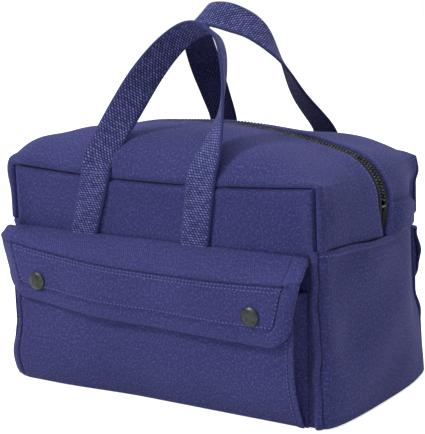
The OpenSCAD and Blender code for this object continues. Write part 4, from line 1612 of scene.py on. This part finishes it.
@dataclass
class Pocket:
    """Outside pocket with its pleated sides."""

    form: BagForm = FORM
    width: float = 262.0
    height: float = 100.0
    depth: float = 19.0
    foot: float = 2.0
    knee: float = 46.0
    splay: float = 3.0
    pleat: float = 7.0
    gusset_t: float = 1.2
    wave: float = 0.8
    groove: float = 0.5
    slack_groove: float = 1.9
    sag: float = 5.5
    foot_spill: float = 8.0

    def face_y(self, z: Array) -> Array:
        """How far the face stands out at a height."""
        foot = self.form.wall_y(0) + self.foot
        return lerp(foot, self.form.half_d + self.depth, np.sin(np.pi / 2 * np.clip(z / self.knee, 0, 1)))

    def face(self, side: Side) -> Array:
        """Draw the face of the pocket. The front one is slack at its left end.

        Args:
            side: The side of the pocket.

        Returns:
            Its grid.
        """
        u = spread((-1, 0), (-0.92, 26), (0.92, 110), (1, 26))[:, None]
        z = spread((0.5, 0), (6, 7), (self.height, 49))[None, :]
        x = u * self.width / 2 + 0 * z
        edge = np.minimum(self.width / 2 - np.abs(x), 40.0)
        relief = Ripple(41 if side is Side.FRONT else 42, 80.0).at(xyz(x, 0, z))
        swell = self.wave * relief * ease(edge / 20) * ease(z / 20)
        slack = (x < 0) & (side is Side.FRONT)
        groove = np.where(slack, self.slack_groove, self.groove)
        crease = groove * hump(edge, np.where(slack, 6.2, 4.2), 0.9) * ease(z / 8)
        crease = crease + np.where(slack, 0.3, 0.0) * np.clip(6 - edge, 0, 6)
        x = x - np.where(slack, 1.0, 0.0) * self.spill(z) * ease((20 - edge) / 20)
        inset = np.clip(2.5 - z, 0, 4) ** 2 / 5
        sag = self.sag * ease((-x - 10) / 90) * ease((45 - z) / 40)
        return side.place(xyz(x, -self.face_y(z) - swell - sag + crease + inset, z))

    def spill(self, z: Array) -> Array:
        """How far the foot of the pocket's slack end stands out, in millimetres."""
        return self.foot_spill * ease((52 - z) / 34) * ease(0.45 + z / 12)

    def gusset(self, end: int, side: Side) -> Array:
        """Draw one pleated side.

        Args:
            end: -1 for the left side, 1 for the right one.
            side: The side of the pocket.

        Returns:
            Its grid.
        """
        u = np.linspace(0, 1, 31)[:, None]
        z = np.linspace(0.6, self.height - 0.3, 46)[None, :]
        fold = 1 - np.abs(2 * u - 1) ** 1.25
        wave = 0.6 * np.sin(z / 11.0 + 2 * end) * fold
        x = self.width / 2 + self.splay * u - self.pleat * fold + wave - 0.4
        if side is Side.FRONT and end < 0:
            x = x + self.spill(z) * (1 - u)
        y = lerp(-self.face_y(z) + 1.2, -self.form.wall_y(z) - 0.2, u)
        grid = xyz(x * end, y, z)
        return side.place(grid if end > 0 else grid[::-1])

    def build(self) -> None:
        """Build and dress the pockets of both sides."""
        canvas = CANVAS.material()
        for side in Side:
            name = side.value
            grid = self.face(side)
            piece = cloth(f"{name}_pocket_cloth", grid, self.form.canvas_t, canvas)
            settle(piece, (f"{name}_pocket",), "bag")
            raised = lifted(grid)
            lines = [raised[7, 6:], raised[-14, 6:], raised[:, -6]]
            thread = settle(ROWS.sew(f"{name}_pocket_stitches", lines), (), "bag")
            for end, where in ((-1, "left"), (1, "right")):
                grid = self.gusset(end, side)
                piece = cloth(f"{name}_pocket_{where}_side", grid, self.gusset_t, canvas)
                settle(piece, (f"{name}_pocket_gussets",), "bag")


@dataclass
class Flap:
    """Pocket flap: a roof, a rolled ridge and a hanging face with a wide sewn hem."""

    form: BagForm = FORM
    width: float = 278.0
    tuck: float = 3.0
    low_width: float = 264.0
    line_z: float = 125.0
    roof_out: float = 22.0
    roof_drop: float = 11.0
    ridge_dip: float = 6.0
    drop: float = 60.0
    corner_r: float = 20.0
    thick: float = 2.4
    hem: float = 12.5
    roll: float = 7.0
    skew: float = 4.0 / 200.0
    web_t: float = 2.4
    gap: float = 0.3
    snap_x: float = 100.0
    snap_z: float = 86.0
    cap_d: float = 14.6
    cap_back: float = 101.6
    # Relief and soft bends of the cloth
    wave: float = 1.3
    ridge_roll: float = 1.5
    under_ridge: float = 1.5
    hem_deep: float = 1.5
    lift: float = 6.0
    ridge_lift: float = 2.2
    raised: float = 5.0
    curl: float = 0.68
    right_curl: float = 0.16
    rear_drop: float = 5.0
    rear_narrow: float = 0.045

    @property
    def seam_y(self) -> float:
        """Place of the flap's seam in front of the bag's middle."""
        return self.form.half_d + self.web_t + self.gap

    @property
    def face_l(self) -> float:
        """Length of the hanging face at the flap's ends."""
        return self.drop - self.roof_drop

    @property
    def corner_t(self) -> float:
        """Where the round lower corners start, down the flap."""
        return 2 - self.corner_r / self.face_l

    @property
    def across(self) -> Array:
        """Shares across the flap where its grid has points."""
        return spread((-1, 0), (-0.88, 26), (0.88, 120), (1, 26))

    @property
    def down(self) -> Array:
        """Places down the flap where its grid has points, from its lower edge up."""
        low = 2 - self.corner_r / self.face_l * (1 - np.sin(np.linspace(np.pi / 2, 0, 20)))
        return np.concatenate([low, spread((low[-1], 0), (1.2, 23), (0.9, 25), (0, 17))[1:]])

    def profile(self, x: Array, t: Array) -> tuple[Array, Array]:
        """Outer line of the flap across its ridge.

        Args:
            x: Share across, from -1 to 1.
            t: 0 at the seam, 1 at the ridge and 2 at the lower edge.

        Returns:
            How far it stands out and how far it hangs down.
        """
        ridge = self.roof_drop + self.ridge_dip * (1 - x * x)
        roof = np.clip(t, 0, 1)
        near = hump((t - 1) * 45, 0, self.roll)
        out = self.roof_out * roof - 1.3 * near
        return out, ridge * roof + (self.drop - ridge) * np.clip(t - 1, 0, 1) + 0.9 * near

    def half(self, t: Array) -> Array:
        """Half the width of the flap down its length, with its round lower corners.

        Args:
            t: Places down the flap.

        Returns:
            The half widths.
        """
        roof = self.width / 2 - self.tuck * (1 - t)
        side = lerp(self.width, self.low_width, (t - 1) / (self.corner_t - 1)) / 2
        rest = np.clip((t - self.corner_t) * self.face_l, 0, self.corner_r)
        low = self.low_width / 2 - self.corner_r + np.sqrt(np.maximum(0, self.corner_r**2 - rest**2))
        return np.where(t < 1, roof, np.where(t < self.corner_t, side, low))

    def inset(self, x: Array, t: Array) -> Array:
        """Distance from the ends and the round lower edge.

        Args:
            x: Places along the bag, in millimetres.
            t: Places down the flap.

        Returns:
            The distances, in millimetres.
        """
        beside = self.half(np.minimum(t, self.corner_t)) - np.abs(x)
        above = np.maximum((2 - t) * self.face_l, 0)
        r = self.corner_r
        rounded = r - np.hypot(np.maximum(r - beside, 0), np.maximum(r - above, 0))
        return np.where((beside < r) & (above < r), rounded, np.minimum(beside, above))

    def relief(self, points: Array, x: Array, z: Array, side: Side) -> Array:
        """Relief of the flap: its rolled ridge, its hem's puff and seams, and its soft waves.

        Args:
            points: Grid of the plain flap.
            x: Places along the bag of the flap as it is cut.
            z: Heights of the flap as it is cut.
            side: The side of the flap.

        Returns:
            The relief, outwards.
        """
        t = self.down[None, :]
        inset = self.inset(x, t)
        fall = (t - 1.0) * self.face_l
        hanging = ease(fall / 4)
        under = self.under_ridge * hump(fall, 1.6, 1.1) * ease((inset - 2) / 6)
        hem_line = self.hem_deep * hump(inset, self.hem, 1.0) * (0.5 + 0.5 * hanging)
        puff = np.sin(np.pi * np.clip(inset / self.hem, 0, 1)) ** 0.8 * (0.4 + 0.5 * hanging)
        ridge_roll = self.ridge_roll * hump(fall, -3.5, 4.0)
        cap = np.ones(inset.shape)
        for cap_x in (-self.snap_x, self.snap_x):
            cap = cap * (1 - hump(x, cap_x, 13) * hump(z, self.snap_z - self.skew * cap_x, 13))
        ripple = Ripple(51 if side is Side.FRONT else 52, 70.0).at(points)
        soft = self.wave * ripple * ease(t / 0.4) * cap
        return soft + cap * (ridge_roll + puff) - under - hem_line - 0.5 * np.exp(-inset / 0.8)

    def grid(self, side: Side) -> Array:
        """Draw the flap. The front one's left end is turned back, the rear one's left end is drawn in.

        Args:
            side: The side of the flap.

        Returns:
            Its grid, from its lower edge up to its seam.
        """
        u, t = self.across[:, None], self.down[None, :]
        out, down = self.profile(u, t)
        x = u * self.half(t)
        z = self.line_z - self.skew * x * np.minimum(1, t) - down
        left = ease((-x - 30) / 105)
        if side is Side.FRONT:
            narrow, lift = 1.0, self.lift * left * np.clip(t - 1, 0, 1)
        else:
            narrow = 1 - self.rear_narrow * ease((-x - 60) / 60) * (1 - ease((t - 1.0) / 0.4))
            lift = -self.rear_drop * ease((-x - 95) / 42)
        points = xyz(x * narrow, -self.seam_y - out, z + lift)
        normals = grid_normals(points)
        normals[:, 0] = normals[:, 1]
        points = points + normals * self.relief(points, x, z, side)[..., None]
        beside = self.half(np.minimum(t, 1.6)) - np.abs(x)
        beyond = np.clip(self.hem - beside, 0, self.hem) * ease((t - 0.15) / 0.6)
        back = beyond * beyond / (beyond + 2.0)
        curl = self.curl if side is Side.FRONT else 0.3 - 0.25 * ease((t - 1.1) / 0.3)
        points[..., 1] += np.where(x < 0, curl, self.right_curl) * back
        if side is Side.FRONT:
            points[..., 0] += np.where(x < 0, -0.52 + 0.06 * ease((t - 1.1) / 0.3), 0.0) * back
            points[..., 2] += ease((-x - 95) / 40) * (self.raised * hump(t, 0.5, 0.3) + 0.6)
        held = ease((t - 0.3) / 0.5) * (1 - ease((t - 1) / 0.5))
        points[..., 2] += np.where(x < 0, self.ridge_lift * left * held, 0.0)
        return side.place(points)

    def stitch_lines(self, grid: Array) -> list[Array]:
        """Rows of stitches: two under the ridge, and one round the ends and the lower edge.

        Args:
            grid: Grid of the flap.

        Returns:
            The rows, each as points.
        """
        raised = lifted(grid, 0.2)
        t = self.down
        count = len(self.across)
        inset = self.inset(self.across[:, None] * self.half(t)[None, :], t[None, :])
        lines = []
        for fall in (3.4, 6.0):
            j = int(np.argmin(np.abs((t - 1) * self.face_l - fall)))
            lines.append(raised[np.nonzero(inset[:, j] > self.hem + 0.6)[0], j])
        row = []
        target = self.hem + 1.3
        for i in range(count):
            reach = np.nonzero((inset[i] >= target) & (t > 1.05))[0]
            if len(reach) and abs(inset[i, reach[0]] - target) < 1.6:
                row.append(raised[i, reach[0]])
        lines.append(np.array(row))
        for rows in (range(count // 2), range(count - 1, count // 2, -1)):
            row = []
            for j in np.nonzero((t > 1.08) & (t < self.corner_t))[0]:
                row.append(raised[min(rows, key=lambda k: abs(inset[k, j] - target)), j])
            lines.append(np.array(row))
        return lines

    def caps(self, side: Side) -> Object:
        """Both snap caps of a flap: domed, with a rolled rim.

        Args:
            side: The side that the flap is on.

        Returns:
            The caps as one piece.
        """
        low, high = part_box(f"{side.value}_snap_caps")
        rise = (high[1] - low[1]) / MM
        radius = self.cap_d / 2
        section = ((0.0, 1.0), (0.3, 0.98), (0.55, 0.9), (0.75, 0.76), (0.86, 0.62), (0.91, 0.5),
                   (0.96, 0.47), (1.0, 0.36), (1.0, 0.2), (0.95, 0.08), (0.86, 0.0))
        around = 40
        turn = np.linspace(0, 2 * np.pi, around, endpoint=False)
        verts, faces = [], []
        for cap_x in (-self.snap_x, self.snap_x):
            first = len(verts)
            middle = np.array([cap_x, -self.cap_back, self.snap_z - self.skew * cap_x])
            verts.append(middle - np.array([0, rise, 0]))
            for share, height in section[1:]:
                r, up = share * radius, height * rise
                verts += [middle + np.array((r * math.cos(a), -up, r * math.sin(a))) for a in turn]
            count = len(section) - 1
            for k in range(around):
                n = (k + 1) % around
                faces.append([first, first + 1 + k, first + 1 + n])
                for j in range(count - 1):
                    a, b = first + 1 + j * around, first + 1 + (j + 1) * around
                    faces.append([a + k, b + k, b + n, a + n])
            faces.append([first + 1 + (count - 1) * around + k for k in range(around)][::-1])
        points = side.place(np.array(verts))
        name = f"{side.value}_domed_caps"
        return new_object(name, points, faces, points[:, [0, 2]] * MM, SNAP_METAL.material())

    def build(self) -> None:
        """Build and dress both flaps."""
        canvas = CANVAS.material()
        for side in Side:
            name = side.value
            grid = self.grid(side)
            body = f"{name}_flap"
            piece = cloth(f"{name}_flap_cloth", grid, self.thick, canvas)
            settle(piece, (f"{name}_flap",), body)
            thread = ROWS.sew(f"{name}_flap_stitches", self.stitch_lines(grid), 3.2)
            settle(thread, (), body)
            caps = settle(self.caps(side), (f"{name}_snap_caps",), body)
            hidden = tuple(f"{name}_snap_{part}" for part in ("sockets", "studs", "backs"))
            dress_solids(hidden, SNAP_METAL.material())


@dataclass
class FlapSeam:
    """Strip of canvas behind each flap's seam."""

    form: BagForm = FORM
    strip_h: float = 6.0
    strip_t: float = 2.1
    top_z: float = 125.0
    reach: float = 135.0
    clear: float = 13.0

    def build(self) -> None:
        """Build and dress the strips of both sides, which leave the web legs free."""
        (left, _), (right, _) = STRAP_LEGS
        spans = ((-self.reach, left - self.clear), (left + self.clear, right - self.clear),
                 (right + self.clear, self.reach))
        for side in Side:
            for number, (low, high) in enumerate(spans):
                u = np.linspace(low, high, 24)[:, None]
                z = np.linspace(self.top_z - self.strip_h, self.top_z, 7)[None, :]
                y = -(self.form.wall_y(z) + 2.3) + 0.25 * np.sin(u / 5.0)
                grid = side.place(xyz(u, y, z))
                piece = cloth(f"{side.value}_flap_strip_{number}", grid, self.strip_t, CANVAS.material())
                settle(piece, (f"{side.value}_flap_seam",), "bag")


@dataclass(frozen=True)
class Studio:
    """Camera, lamps and backdrop."""

    azimuth: float = 35.0
    elevation: float = 11.4
    roll: float = -2.1
    distance: float = 1.1219
    target: tuple[float, float, float] = (-0.0004, 0.0, 0.1288)
    focal_px: float = 1400.0
    frame_px: float = 434.0

    def camera(self) -> None:
        """Make the camera at the photographed angle."""
        az, el, roll = (math.radians(v) for v in (self.azimuth, self.elevation, self.roll))
        back = Vector((math.sin(az) * math.cos(el), -math.cos(az) * math.cos(el), math.sin(el)))
        right = (-back).cross(Vector((0, 0, 1))).normalized()
        up = right.cross(-back)
        turned_right = right * math.cos(roll) + up * math.sin(roll)
        turned_up = up * math.cos(roll) - right * math.sin(roll)
        data = bpy.data.cameras.new("camera")
        data.sensor_width = 36.0
        data.lens = self.focal_px / self.frame_px * data.sensor_width
        camera = show("camera", data)
        axes = Matrix((turned_right, turned_up, back)).transposed().to_4x4()
        axes.translation = Vector(self.target) + back * self.distance
        camera.matrix_world = axes
        bpy.context.scene.camera = camera

    def lamp(self, name: str, place: tuple[float, float, float], size: float, power: float) -> None:
        """Add a soft square lamp that points at the bag.

        Args:
            name: Name of the lamp.
            place: Its place, in metres.
            size: Its edge, in metres.
            power: Its power, in watts.
        """
        data = bpy.data.lights.new(name, "AREA")
        data.size = size
        data.energy = power
        lamp = show(name, data)
        lamp.location = place
        aim = Vector((0, 0, 0.1)) - Vector(place)
        lamp.rotation_euler = aim.to_track_quat("-Z", "Y").to_euler()

    def seen(self, graph: Graph) -> Socket:
        """Tell the rays that show a surface from those that light the bag.

        Args:
            graph: Graph of the floor or the world.

        Returns:
            A socket that is 1 for rays of the camera, in mirrors and through glass.
        """
        path = graph.add("ShaderNodeLightPath").outputs
        direct = graph.math("MAXIMUM", path["Is Camera Ray"], path["Is Glossy Ray"])
        return graph.math("MAXIMUM", direct, path["Is Transmission Ray"])

    def floor(self) -> None:
        """Make the pale floor."""
        mesh = bpy.data.meshes.new("floor")
        reach = 4.0
        corners = [(-reach, -reach, 0), (reach, -reach, 0), (reach, reach, 0), (-reach, reach, 0)]
        mesh.from_pydata(corners, [], [(0, 1, 2, 3)])
        floor = show("floor", mesh)
        material = bpy.data.materials.new("pale floor")
        material.use_nodes = True
        shader = material.node_tree.nodes["Principled BSDF"]
        shader.inputs["Base Color"].default_value = (0.92, 0.92, 0.92, 1)
        shader.inputs["Roughness"].default_value = 0.9
        shader.inputs["Specular IOR Level"].default_value = 0.1
        shader.inputs["Emission Color"].default_value = (1, 1, 1, 1)
        graph = Graph(material.node_tree)
        seen = self.seen(graph)
        graph.join(graph.math("MULTIPLY", seen, 0.62), shader.inputs["Emission Strength"])
        mesh.materials.append(material)

    def world(self) -> None:
        """Light the world evenly, and show it white to the camera."""
        world = bpy.data.worlds.new("studio")
        bpy.context.scene.world = world
        world.use_nodes = True
        graph = Graph(world.node_tree)
        background = world.node_tree.nodes["Background"]
        seen = self.seen(graph)
        strength = graph.math("ADD", graph.math("MULTIPLY", seen, 0.6), 0.4)
        background.inputs["Color"].default_value = (1, 1, 1, 1)
        graph.join(strength, background.inputs["Strength"])

    def build(self) -> None:
        """Set up the whole studio."""
        self.camera()
        self.floor()
        self.world()
        self.lamp("key", (-0.95, -1.45, 1.7), 0.45, 39.0)
        self.lamp("fill", (1.7, 1.4, 1.0), 1.2, 13.0)
        self.lamp("low fill", (-0.1, -2.1, 0.6), 1.0, 5.0)
        self.lamp("top", (0.1, 0.1, 2.1), 1.2, 27.0)
        bpy.context.scene.view_settings.view_transform = "Standard"


def main() -> None:
    """Build the bag, its parts in order, and log each piece."""
    logging.basicConfig(level=logging.INFO, format="%(name)s %(message)s")
    Studio().build()
    for part in (Body(), Crown(), Zip(), Handles(), Pocket(), Flap(), FlapSeam()):
        LOG.info("building %s", type(part).__name__)
        part.build()


if __name__ == "__main__":
    main()
